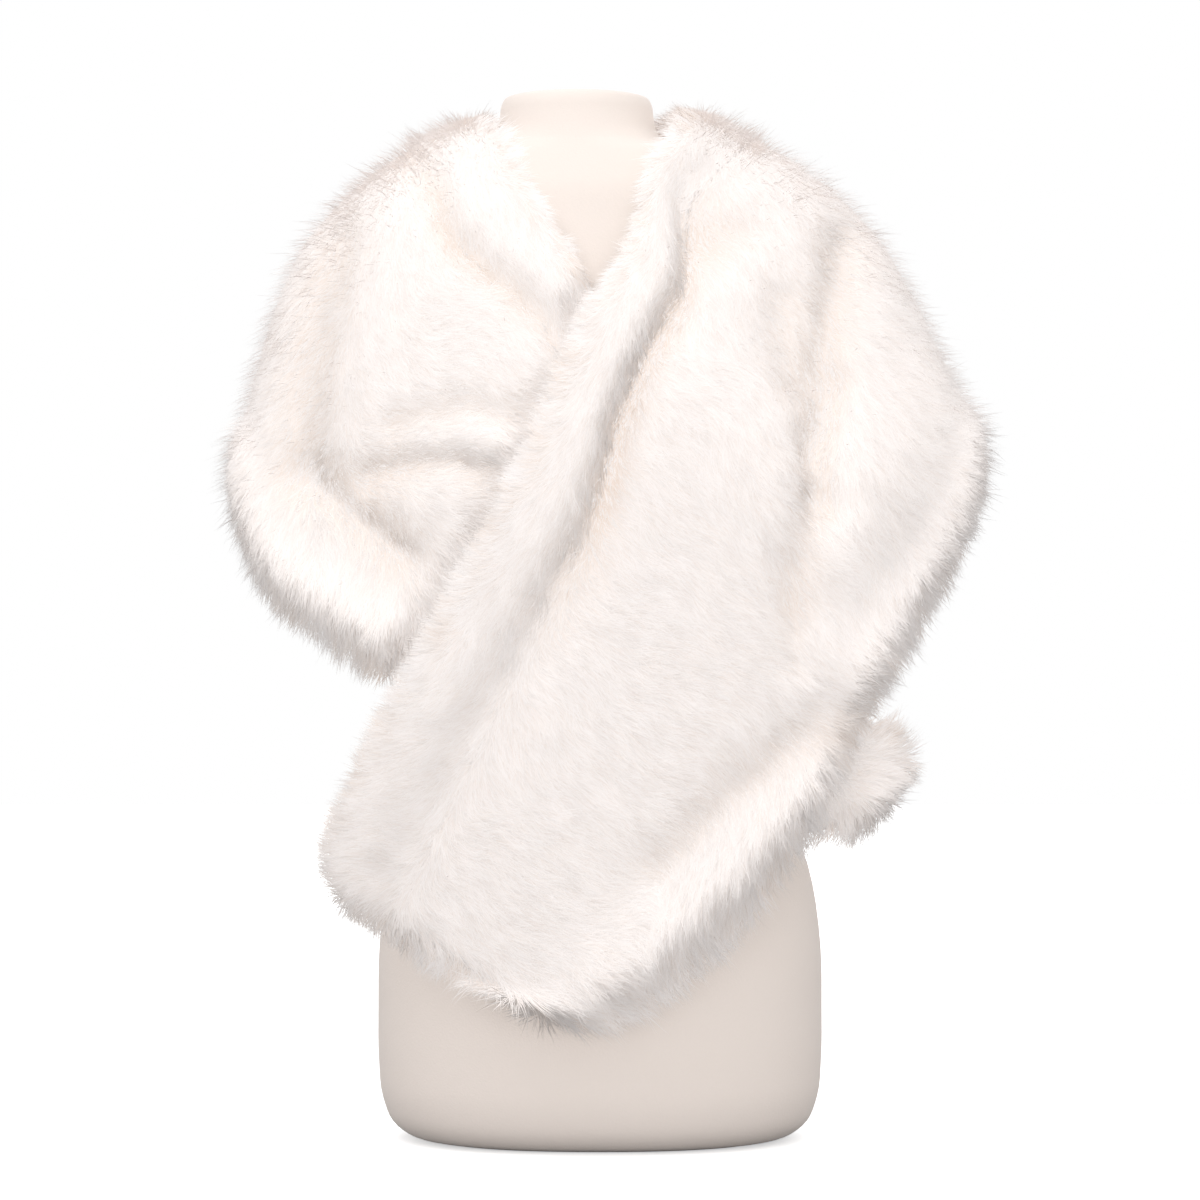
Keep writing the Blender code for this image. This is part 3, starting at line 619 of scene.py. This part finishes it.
# Way the hair lies at each grid point: the guides near it, weighted by a power of their distance, and turned
# onto the surface.
def napDirection(field, panel):
    angle, base, normal = field["angle"], field["base"], field["normal"]
    level = np.zeros_like(angle) + napGuide["highDrop"]
    around = unit(drapePoint(angle - 0.5, level) - drapePoint(angle + 0.5, level))
    up = unit(np.cross(normal, around))
    up = np.where(up[..., 2:] < 0, -up, up)
    around = unit(np.cross(up, normal))
    if panel == 2:
        turn = np.radians(np.interp(angle, (180.0, 270.0, 360.0), backNap))
        return around * np.cos(turn)[..., None] + up * np.sin(turn)[..., None]
    guides = naps[panel]
    gap = np.linalg.norm(base[..., None, (0, 2)] - guides[:, :2], axis=-1)
    weight = 1.0 / (gap ** 2 + napGuide["blur"] ** 2) ** napGuide["fall"]
    turns = np.radians(guides[:, 2])
    along = (weight * np.cos(turns)).sum(axis=-1, keepdims=True)
    rise = (weight * np.sin(turns)).sum(axis=-1, keepdims=True)
    return unit(around * along + up * rise)


# Values of a grid between its points, straight in both ways.
def between(grid, row, column):
    r0 = np.clip(row.astype(int), 0, grid.shape[0] - 2)
    c0 = np.clip(column.astype(int), 0, grid.shape[1] - 2)
    r, c = row - r0, column - c0
    if grid.ndim == 3:
        r, c = r[:, None], c[:, None]
    low = grid[r0, c0] * (1 - c) + grid[r0, c0 + 1] * c
    high = grid[r0 + 1, c0] * (1 - c) + grid[r0 + 1, c0 + 1] * c
    return low * (1 - r) + high * r


# Offset from each root to the nearest of a jittered lattice of clump centres, and the clump's own number.
def nearestClump(run, place, spacing, seed):
    i0, j0 = np.floor(run / spacing), np.floor(place / spacing)
    best = np.full(run.shape, np.inf)
    du, dv, own = np.zeros_like(run), np.zeros_like(run), np.zeros_like(run)
    for i in (-1, 0, 1):
        for j in (-1, 0, 1):
            ci, cj = i0 + i, j0 + j
            u = (ci + hashed(ci, cj, seed)) * spacing - run
            v = (cj + hashed(ci, cj, seed + 1)) * spacing - place
            gap = u * u + v * v
            closer = gap < best
            best = np.where(closer, gap, best)
            du, dv = np.where(closer, u, du), np.where(closer, v, dv)
            own = np.where(closer, hashed(ci, cj, seed + 2), own)
    return du, dv, own


# Grid that a stretch of hair stands on, with the coat's face, the ways along and across it, the way out at a
# free edge, which is down the slope of the distance to it, and how many hairs each cell gets.
def coatGrid(source, start, stop, panel):
    columns = hair["collarColumns"] if piecePlan[source]["collar"] else hair["columns"]
    grid = layOut(source, start, stop, hair["rows"], columns, underfur)
    outer = grid["base"] + grid["normal"] * (grid["lift"] + grid["top"])[..., None]
    rootLift = grid["lift"] + grid["woolTop"] - hair["rootDepth"]
    grid["root"] = grid["base"] + grid["normal"] * rootLift[..., None]
    alongRun, alongPlace = np.gradient(outer, axis=0), np.gradient(outer, axis=1)
    face = unit(np.cross(alongRun, alongPlace))
    facing = (face * grid["normal"]).sum(axis=-1, keepdims=True)
    grid["face"] = np.where(facing < 0, -face, face)
    grid["runWay"], grid["placeWay"] = unit(alongRun), unit(alongPlace)
    slopeRun = np.gradient(grid["edge"], axis=0) / np.linalg.norm(alongRun, axis=-1)
    slopePlace = np.gradient(grid["edge"], axis=1) / np.linalg.norm(alongPlace, axis=-1)
    grid["out"] = unit(-(grid["runWay"] * slopeRun[..., None] + grid["placeWay"] * slopePlace[..., None]))
    grid["nap"] = napDirection(grid, panel)
    grid["reach"] = grid["top"] - grid["woolTop"]
    area = np.linalg.norm(np.cross(alongRun, alongPlace), axis=-1)
    crowd = np.clip(1.0 - grid["edge"] / hair["crowdReach"], 0.0, 1.0)
    return grid, (area * grid["shown"] * (1.0 + hair["crowd"] * crowd))[:-1, :-1]


# Mesh of ribbons from the five corners, soft normals and map spots of each.
def ribbonMesh(name, corners, normals, spots):
    count = len(corners)
    triangles = (np.arange(count)[:, None, None] * 5 + ribbonFaces).reshape(-1)
    mesh = bpy.data.meshes.new(name)
    mesh.vertices.add(count * 5)
    mesh.vertices.foreach_set("co", corners.astype(np.float32).ravel())
    mesh.loops.add(len(triangles))
    mesh.loops.foreach_set("vertex_index", triangles.astype(np.int32))
    mesh.polygons.add(len(triangles) // 3)
    mesh.polygons.foreach_set("loop_start", np.arange(0, len(triangles), 3, dtype=np.int32))
    mesh.update(calc_edges=True)
    mesh.shade_smooth()
    layer = mesh.uv_layers.new(name="OFBake", do_init=False)
    layer.uv.foreach_set("vector", spots.reshape(-1, 2)[triangles].astype(np.float32).ravel())
    mesh.normals_split_custom_set_from_vertices(normals.reshape(-1, 3).astype(np.float32))
    return mesh


# Ribbons of fur over one piece: roots drawn by area, each bending from steep to flat along the nap, pulled
# towards its clump, fanned outwards at a free edge. Three stations make three triangles.
def growFur(name, source, start, stop, count, seed, material):
    collar = piecePlan[source]["collar"]
    panel = 3 if collar else piecePlan[source]["panel"]
    grid, weight = coatGrid(source, start, stop, panel)
    rng = np.random.default_rng(seed)
    total = np.cumsum(weight.ravel())
    cell = np.searchsorted(total, rng.random(count) * total[-1])
    row = cell // weight.shape[1] + rng.random(count)
    column = cell % weight.shape[1] + rng.random(count)

    # value of the grid at each root
    def at(key):
        return between(grid[key], row, column)

    # wave at each root
    def wave(key):
        return ripple(run, place, *hair[key])

    # random shift of the roots, less with the distance to a seam
    def shaken(way, distance, spread, reach):
        return way * (rng.normal(0.0, spread, count) * np.exp(-(distance / reach) ** 2))[:, None]

    # mean angle plus each hair's own
    def angles(key):
        mean, spread = hair[key]
        return mean + rng.normal(0.0, spread, count)

    # what each root stands on
    root, smooth, face, out = at("root"), at("normal"), at("face"), unit(at("out"))
    normal = unit(smooth + face)
    runWay, placeWay = unit(at("runWay")), unit(at("placeWay"))
    run, place, toEdge, crease = at("run"), at("place"), at("edge"), at("crease")
    toSeam = at("toSeam")
    clumpU, clumpV, clumpOwn = nearestClump(run, place, hair["clump"], 3)
    lockU, lockV, lockOwn = nearestClump(run, place, hair["lock"], 9)

    # shading: the coat's face with its folds deepened, but flattened where the collar's seam is steep
    nearSeam = np.exp(-(toSeam / hair["seamReach"]) ** 2) * np.interp(run, hair["seamRuns"], (1.0, 0.0))
    relief = hair["relief"] * smoothStep(toEdge / hair["reliefReach"])
    relief = (relief * (1.0 - nearSeam) - hair["seamRelief"] * nearSeam)[:, None]
    shading = unit(face * (1.0 + relief) - smooth * relief)

    # the way it lies: the nap, the seam beside it, then outwards at an edge, turned by waves and clumps
    toSeam = np.abs(toSeam)
    pastNape = smoothStep(np.abs(run - wrap["napeSeam"]) / hair["napeReach"])
    follow = (hair["seamFollow"] * np.exp(-(toSeam / hair["seamCover"]) ** 2) * pastNape)[:, None]
    seamWay = runWay * (1.0 if piecePlan[source]["panel"] == 1 else -1.0)
    lie = unit(unit(at("nap")) * (1.0 - follow) + seamWay * follow)
    root = root + shaken(placeWay, toSeam, *hair["seamShake"])
    toJoin = np.abs(run[:, None] - hair["joins"]).min(axis=1)
    root = root + shaken(runWay, toJoin, *hair["joinShake"])
    fan = smoothStep(1.0 - toEdge / hair["fanReach"])
    loose = np.interp(run, *hair["looseNeck"]) if collar else np.ones(count)
    fanTurn, fanOut = hair["fanTurn"] * loose * fan, hair["fanOut"] * loose * fan
    lie = unit(lie * (1.0 - fanTurn)[:, None] + out * fanOut[:, None])
    lie = unit(lie - normal * (lie * normal).sum(axis=-1, keepdims=True))
    side = np.cross(normal, lie)
    turn = np.radians(
        hair["slowTurn"] * wave("slow") + hair["quickTurn"] * wave("quick")
        + hair["clumpTurn"] * (clumpOwn - 0.5) + hair["lockTurn"] * (lockOwn - 0.5)
        + rng.normal(0.0, hair["ownTurn"], count))
    lie = lie * np.cos(turn)[:, None] + side * np.sin(turn)[:, None]
    side = np.cross(normal, lie)
    tuft, clumpTuft = hair["tuft"], hair["clumpTuft"] * hair["tuft"]
    tuftLie = tuft * wave("ahead") + clumpTuft * (clumpOwn - 0.5)
    tuftSide = tuft * wave("aside") + clumpTuft * (lockOwn - 0.5)
    shading = unit(shading + lie * tuftLie[:, None] + side * tuftSide[:, None])

    # angles at root and tip: those of the coat, of the strays in it, and of the fringe
    base = angles("baseAngle") + hair["baseWave"] * wave("steep")
    tip = angles("tipAngle") + hair["clumpTip"] * (clumpOwn - 0.5)
    upShare, begins, span = hair["ruffle"]
    ruffled = smoothStep((np.abs(normal[:, 0]) + upShare * np.maximum(normal[:, 2], 0.0) - begins) / span)
    stray = rng.random(count) < hair["strays"] + hair["ruffledStrays"] * ruffled
    base = np.where(stray, angles("strayBase"), base)
    tip = np.where(stray, angles("strayTip"), tip)
    spread = rng.uniform(*hair["fringeAngles"], count)
    atEdge, nearEdge, farEdge = (smoothStep(1.0 - toEdge / reach) for reach in hair["edgeReaches"])
    level, degrees, most = hair["tiltFall"]
    tilt = hair["hemTilt"] * nearEdge * np.clip(level - spread / degrees, 0.0, most)
    tilt = tilt + hair["farTilt"] * farEdge
    shading = unit(shading + out * (tilt * np.clip(-out[:, 2], 0.0, 1.0) ** 3)[:, None])
    base = np.radians(base * (1 - atEdge) + spread * atEdge)
    tip = np.radians(tip * (1 - atEdge) + (spread + hair["fringeAngles"][0]) * atEdge)
    tip = np.minimum(tip, base - hair["leastBend"])
    bend = tip - base

    # length: what an arc of these angles needs to reach the coat's top
    stand = at("reach") * (1.0 + hair["standWave"] * wave("tall"))
    lengths = stand / np.maximum((np.cos(base) - np.cos(tip)) / bend, hair["leastRise"])
    strayLength = hair["strayLength"] * (1.0 + hair["ruffledLength"] * ruffled)
    lengths = np.where(stray, strayLength * rng.uniform(*hair["fringeLengths"], count), lengths)
    fringe = hair["fringe"] * loose * rng.uniform(*hair["fringeLengths"], count)
    lengths = np.clip(lengths * (1 - atEdge) + fringe * atEdge, hair["shortest"], hair["longest"])
    least, more = hair["clumpLengths"]
    lengths = lengths * rng.uniform(*hair["lengths"], count) * (least + more * clumpOwn)
    lengths = np.where(rng.random(count) < hair["longShare"], lengths * hair["longStretch"], lengths)

    # points of the arc at the three stations; pull comes on with the share along to 1.3, sway with its square
    s = stationShares[None, :]
    turned = base[:, None] + bend[:, None] * s
    ahead = lengths[:, None] * (np.sin(turned) - np.sin(base)[:, None]) / bend[:, None]
    height = lengths[:, None] * (np.cos(base)[:, None] - np.cos(turned)) / bend[:, None]
    pull = (hair["clumpPull"] + hair["edgePull"] * nearEdge)[:, None]
    pull = pull * (runWay * clumpU[:, None] + placeWay * clumpV[:, None])
    pull = pull + hair["lockPull"] * (runWay * lockU[:, None] + placeWay * lockV[:, None])
    sway = side * (rng.normal(0.0, hair["sway"], count) * lengths)[:, None]
    points = (root[:, None, :] + lie[:, None, :] * ahead[..., None] + normal[:, None, :] * height[..., None]
              + pull[:, None, :] * (s ** 1.3)[..., None] + sway[:, None, :] * (s ** 2)[..., None])

    # ribbon: half widths to each side of the points, twisted about the hair
    tangent = unit(np.gradient(points, axis=1))
    wide = unit(np.cross(tangent, normal[:, None, :]))
    twist = np.radians(rng.uniform(-hair["twist"], hair["twist"], count))[:, None, None]
    wide = wide * np.cos(twist) + np.cross(tangent, wide) * np.sin(twist)
    half = 0.5 * hair["width"] * rng.uniform(*hair["widths"], count)
    half = ((half * np.where(stray, hair["strayWidth"], 1.0))[:, None] * stationWidths)[..., None]
    left, right = points - wide * half, points + wide * half
    corners = np.stack((left[:, 0], right[:, 0], left[:, 1], right[:, 1], points[:, 2]), axis=1)
    roundness = hair["roundness"] * wide
    mixed = (1.0 - hair["ownFace"]) * shading[:, None, :] + hair["ownFace"] * np.cross(wide, tangent)
    normals = unit(np.stack((
        mixed[:, 0] - roundness[:, 0], mixed[:, 0] + roundness[:, 0],
        mixed[:, 1] - roundness[:, 1], mixed[:, 1] + roundness[:, 1], mixed[:, 2]), axis=1))

    # tone: painted shade, darker and warm, in creases and hollows, clean on strays, uneven along a free edge
    # painted shade in the hollows of the folds, in full at the hollow depth
    hollow = np.clip(-foldRelief(at("base"), min(panel, 2)) / hair["hollow"], 0.0, 1.0)
    tone = hair["tone"] - hair["creaseShade"] * crease - hair["deepCreaseShade"] * crease ** 3
    tone = tone - hair["hollowShade"] * hollow + hair["lockTone"] * (lockOwn - 0.5)
    tone = np.where(stray, hair["strayTone"], tone + rng.normal(0.0, hair["toneSpread"], count))
    # along a free edge the tone goes uneven at random by clump and lock and a little darker on the whole, a
    # painted shade among the fringe's locks
    clumpShare, middle, lockShare = hair["edgeTones"]
    uneven = clumpShare * (clumpOwn - middle) + lockShare * (lockOwn - 0.5)
    tone = np.clip(tone + nearEdge * (uneven + rng.normal(0.0, hair["toneSpread"], count)), 0.01, 0.99)
    # corners of the map are kept apart and off its border
    spotU = tone[:, None] + 0.004 * np.array((-1, 1, -1, 1, 0))
    spotV = np.broadcast_to(np.repeat(stationShares, 2)[:5] * 0.98 + 0.01, spotU.shape)
    mesh = ribbonMesh(name, corners, normals, np.stack((spotU, spotV), axis=-1))
    mesh.materials.append(material)
    coat = linked(name, mesh)
    # light soaks through fine white hair, so only the wool under it shades
    coat.visible_shadow = coat.visible_diffuse = False
    return coat


covered, nape, over = (wrap[key] for key in ("coveredSeam", "napeSeam", "overSeam"))
end = float(strip[-1, 0])
# Pieces of the wrap: panel of its folds, whether it is the collar, its runs, which ends are free, the flat
# cut of the cloth as width, length and area, and its fur as name, start, stop, number of ribbons
piecePlan = {
    "right_front": {
        "panel": 0, "collar": False, "runs": (0.0, covered), "rims": (True, False),
        "cut": (0.31, 0.78, 0.137), "fur": (("fur_right_front", 0.0, covered, 54000),),
    },
    "back": {
        "panel": 2, "collar": False, "runs": (covered, over), "rims": (False, False),
        "cut": (0.33, 0.66, 0.180),
        "fur": (("fur_back_right", covered, nape, 36000), ("fur_back_left", nape, over, 36000)),
    },
    "left_front": {
        "panel": 1, "collar": False, "runs": (over, end), "rims": (False, True),
        "cut": (0.31, 0.55, 0.162),
        "fur": (("fur_left_front_upper", over, 1.50, 48000), ("fur_left_front_lower", 1.50, end, 50000)),
    },
    "collar_right": {
        "panel": 0, "collar": True, "runs": (wrap["collarEnd"], nape), "rims": (True, False),
        "cut": (0.06, 0.59, 0.022), "fur": (("fur_collar_right", wrap["collarEnd"], nape, 20000),),
    },
    "collar_left": {
        "panel": 1, "collar": True, "runs": (nape, end), "rims": (False, True),
        "cut": (0.08, 0.70, 0.046), "fur": (("fur_collar_left", nape, end, 46000),),
    },
}


# A finished piece of the wrap: the node it stands for is hidden, and the piece goes on its body.
def settle(piece, name):
    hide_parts(name)
    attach(piece, "root")


# Cloth, wool and fur of each piece; a sewn end stops half a gap short of the seam
fur = furMaterial()
backing, woolMade = grainMaterial("brushedBacking", peltLooks), grainMaterial("shortWool", woolLooks)
# layer, its values, both faces as a height and how far the face is sunk under it, material
layers = (
    ("cloth_", pelt, (("skin", 0.0), ("skin", pelt["thickness"])), backing),
    ("underfur_", underfur, (("woolTop", 0.0), ("woolBottom", 0.0)), woolMade),
)
for order, (name, plan) in enumerate(piecePlan.items()):
    start, stop = plan["runs"]
    low = start if plan["rims"][0] else start + 0.5 * wrap["seamGap"]
    high = stop if plan["rims"][1] else stop - 0.5 * wrap["seamGap"]
    plan["runs"] = (low, high)
    made = []
    for label, layer, heights, material in layers:
        rows = int((stop - start) / layer["step"]) + 1
        columns = layer["collarColumns" if plan["collar"] else "columns"]
        grid = layOut(name, low, high, rows, columns, layer)
        faces = [grid["lift"] + grid[key] - sunk for key, sunk in heights]
        outer, inner = (grid["base"] + grid["normal"] * face[..., None] for face in faces)
        sheet = closedSheet(label + name, outer, inner)
        sheet.data.materials.append(material)
        settle(sheet, name)
        made.append(sheet)
    cloth, *grown = made
    for part, (furName, first, last, count) in enumerate(plan["fur"]):
        first, last = max(first, low), min(last, high)
        coat = growFur(furName, name, first, last, count, 100 + 10 * order + part, fur)
        settle(coat, name)
        grown.append(coat)
    print(name, "laid:", sum(len(coat.data.polygons) for coat in grown), "faces of fur")


# Rings of the dress form, from the base up: height, half width, front depth, back depth, sideways shift,
# fullness of the ring's corners
formRings = np.array((
    (0.0, 0.13, 0.084, 0.08, 0.0, 2.3),
    (0.004, 0.147, 0.098, 0.094, 0.0, 2.3),
    (0.014, 0.16, 0.108, 0.104, 0.0, 2.3),
    (0.032, 0.1675, 0.114, 0.11, 0.0, 2.3),
    (0.06, 0.1705, 0.1165, 0.1135, 0.0, 2.3),
    (0.1, 0.171, 0.117, 0.115, 0.0, 2.3),
    (0.15, 0.17, 0.1155, 0.1145, 0.0, 2.3),
    (0.21, 0.161, 0.11, 0.108, -0.0005, 2.3),
    (0.265, 0.14, 0.1, 0.095, -0.002, 2.3),
    (0.32, 0.1215, 0.092, 0.086, -0.0035, 2.3),
    (0.37, 0.1225, 0.096, 0.086, -0.0045, 2.3),
    (0.42, 0.1295, 0.108, 0.09, -0.0055, 2.3),
    (0.465, 0.136, 0.1215, 0.0945, -0.006, 2.3),
    (0.5, 0.1385, 0.125, 0.0985, -0.0065, 2.3),
    (0.545, 0.14, 0.1195, 0.1035, -0.007, 2.3),
    (0.592, 0.145, 0.11, 0.108, -0.0075, 2.2),
    (0.64, 0.162, 0.101, 0.107, -0.008, 2.1),
    (0.675, 0.176, 0.0925, 0.102, -0.006, 2.0),
    (0.7, 0.174, 0.087, 0.0975, -0.006, 2.0),
    (0.725, 0.1559, 0.082, 0.092, -0.0065, 2.0),
    (0.741, 0.1363, 0.0755, 0.086, -0.0081, 2.0),
    (0.7545, 0.1155, 0.069, 0.0792, -0.0103, 2.0),
    (0.7615, 0.085, 0.0655, 0.069, -0.0145, 2.0),
    (0.7665, 0.069, 0.0632, 0.0635, -0.0165, 2.0),
    (0.774, 0.062, 0.0605, 0.0605, -0.0175, 2.0),
    (0.786, 0.0595, 0.0572, 0.059, -0.018, 2.0),
    (0.796, 0.058, 0.055, 0.058, -0.018, 2.0),
    (0.8005, 0.0555, 0.0525, 0.0555, -0.018, 2.0),
    (0.8025, 0.05, 0.047, 0.05, -0.018, 2.0),
))
formLooks = {
    "perGap": 4, "sides": 96,  # rows between two rings, corners of each
    "closing": (0.0, 0.35, 0.7), "least": 0.001,  # shares of the rings that close an end
    "dark": (0.82, 0.73, 0.672), "light": (0.86, 0.772, 0.715), "scale": 620.0, "detail": 3.0,
    "mottle": (22.0, 0.6, 0.5),  # scale of the coarse noise, share of the fine one, its own share
    "bump": 0.00025, "strength": 0.7, "roughness": 0.88, "sheen": 0.15,
}


# Dress form: smooth curves through the rings, each a rounded ellipse, which has sine and cosine raised to
# 2 / fullness. Shrinking rings and one flat face close both ends.
def turnForm(name, material):
    steps = np.hypot(np.diff(formRings[:, 0]), np.diff(formRings[:, 1]))
    table = np.column_stack((np.concatenate(([0.0], np.cumsum(steps))), formRings))
    knots, perGap = table[:, 0], formLooks["perGap"]
    at = [np.linspace(a, b, perGap, endpoint=False) for a, b in zip(knots[:-1], knots[1:])]
    rows = splineRows(table, np.concatenate((*at, knots[-1:])))
    shrink = np.array(formLooks["closing"])[:, None]
    base, crown = np.tile(rows[0], (len(shrink), 1)), np.tile(rows[-1], (len(shrink), 1))
    base[:, 1:4] *= shrink + formLooks["least"]
    crown[:, 1:4] *= shrink[::-1] + formLooks["least"]
    rows = np.concatenate((base, rows, crown))
    turns = np.linspace(0.0, 2.0 * np.pi, formLooks["sides"], endpoint=False)
    cosine, sine = np.cos(turns)[None, :], np.sin(turns)[None, :]
    power = 2.0 / rows[:, 5, None]
    x = np.sign(cosine) * np.abs(cosine) ** power * rows[:, 1, None] + rows[:, 4, None]
    depth = np.where(sine > 0, rows[:, 2, None], rows[:, 3, None])
    y = -np.sign(sine) * np.abs(sine) ** power * depth
    z = rows[:, 0, None] + 0.0 * x
    points = np.stack((x, y, z), axis=-1)
    count, sides = points.shape[:2]
    grid = np.arange(count * sides).reshape(count, sides)
    after = np.roll(grid, -1, axis=1)
    faces = np.stack((grid[:-1], grid[1:], after[1:], after[:-1]), axis=-1).reshape(-1, 4).tolist()
    faces += [grid[0].tolist(), grid[-1][::-1].tolist()]
    mesh = bpy.data.meshes.new(name)
    mesh.from_pydata(points.reshape(-1, 3).tolist(), [], faces)
    mesh.shade_smooth()
    mesh.materials.append(material)
    return linked(name, mesh)


jersey = grainMaterial("creamJersey", formLooks)
form = turnForm("dress_form_jersey", jersey)
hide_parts("dress_form")
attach(form, "root")
print("dress form turned")


studio = {
    "floorSize": 9.0, "floorColour": (0.90, 0.90, 0.90), "floorRoughness": 0.9, "floorGlow": 0.50,
    "floorReturn": 0.30,  # share of light the floor sends back to the object
    "dome": 0.88, "backdrop": 1.0,
    "aim": (0.0, 0.0, 0.42),  # middle of the wrap
    "lights": {  # place, size, power, colour
        "keyLight": ((-1.6, -3.5, 0.8), 2.6, 39.0, (1.0, 1.0, 1.0)),
        "fillLight": ((1.8, -3.7, 0.8), 2.4, 35.0, (1.0, 1.0, 1.0)),
        "topLight": ((-0.6, -0.4, 3.0), 2.6, 17.0, (0.93, 0.97, 1.0)),
        "rearLight": ((0.4, 3.0, 1.6), 2.4, 24.0, (1.0, 1.0, 1.0)),
    },
}
white = (1.0, 1.0, 1.0, 1.0)


# A round area light at its place, turned so that its axis meets the middle of the wrap.
def softLight(name, place, size, power, colour):
    lamp = bpy.data.lights.new(name, "AREA")
    lamp.shape, lamp.size, lamp.energy, lamp.color = "DISK", size, power, colour
    light = linked(name, lamp)
    light.location = place
    light.rotation_euler = (Vector(studio["aim"]) - Vector(place)).to_track_quat("-Z", "Y").to_euler()


# Floor: one square at z = 0, pale and lifted towards white by its own glow for the camera, and a duller one
# for the light that it sends back.
def layFloor():
    material, shade, _ = newMaterial("paleFloor", {
        "Base Color": (*studio["floorColour"], 1.0), "Roughness": studio["floorRoughness"],
        "Emission Color": white, "Emission Strength": studio["floorGlow"],
    })
    back, nodes = studio["floorReturn"], shade.tree.nodes
    dull = shade.node("ShaderNodeBsdfDiffuse", {}, Color=(back, back, back, 1.0))
    path = shade.node("ShaderNodeLightPath", {})
    seen = Val(shade.tree, nodes["Principled BSDF"].outputs[0])
    mixed = shade.node("ShaderNodeMixShader", {}, path.out("Is Camera Ray"), dull, seen)
    mixed.into(nodes["Material Output"].inputs["Surface"])
    half = studio["floorSize"] / 2
    corners = [(-half, -half, 0.0), (half, -half, 0.0), (half, half, 0.0), (-half, half, 0.0)]
    mesh = bpy.data.meshes.new("floor")
    mesh.from_pydata(corners, [], [(0, 1, 2, 3)])
    mesh.materials.append(material)
    floor = linked("floor", mesh)


# World: even white light, at one strength to the camera and at another to everything else.
def lightWorld():
    world = bpy.data.worlds.new("softRoom")
    bpy.context.scene.world = world
    world.use_nodes = True
    shade = Val(world.node_tree)
    shade.tree.nodes.clear()
    path = shade.node("ShaderNodeLightPath", {})
    light = shade.node("ShaderNodeBackground", {}, Color=white, Strength=studio["dome"])
    seen = shade.node("ShaderNodeBackground", {}, Color=white, Strength=studio["backdrop"])
    mixed = shade.node("ShaderNodeMixShader", {}, path.out("Is Camera Ray"), light, seen)
    mixed.into(shade.tree.nodes.new("ShaderNodeOutputWorld").inputs["Surface"])


layFloor()
lightWorld()
for name, values in studio["lights"].items():
    softLight(name, *values)
scene = bpy.context.scene
scene.view_settings.view_transform = "Standard"
scene.view_settings.look = "None"

lens = {"place": (0.0, -2.8, 0.414), "sensor": 36.0, "focal": 108.66, "clip": (0.05, 60.0)}
camera = bpy.data.cameras.new("camera")
camera.sensor_width, camera.lens = lens["sensor"], lens["focal"]
camera.clip_start, camera.clip_end = lens["clip"]
viewpoint = linked("camera", camera)
viewpoint.location = lens["place"]
viewpoint.rotation_euler = (np.pi / 2, 0.0, 0.0)
scene.camera = viewpoint
print("studio set")
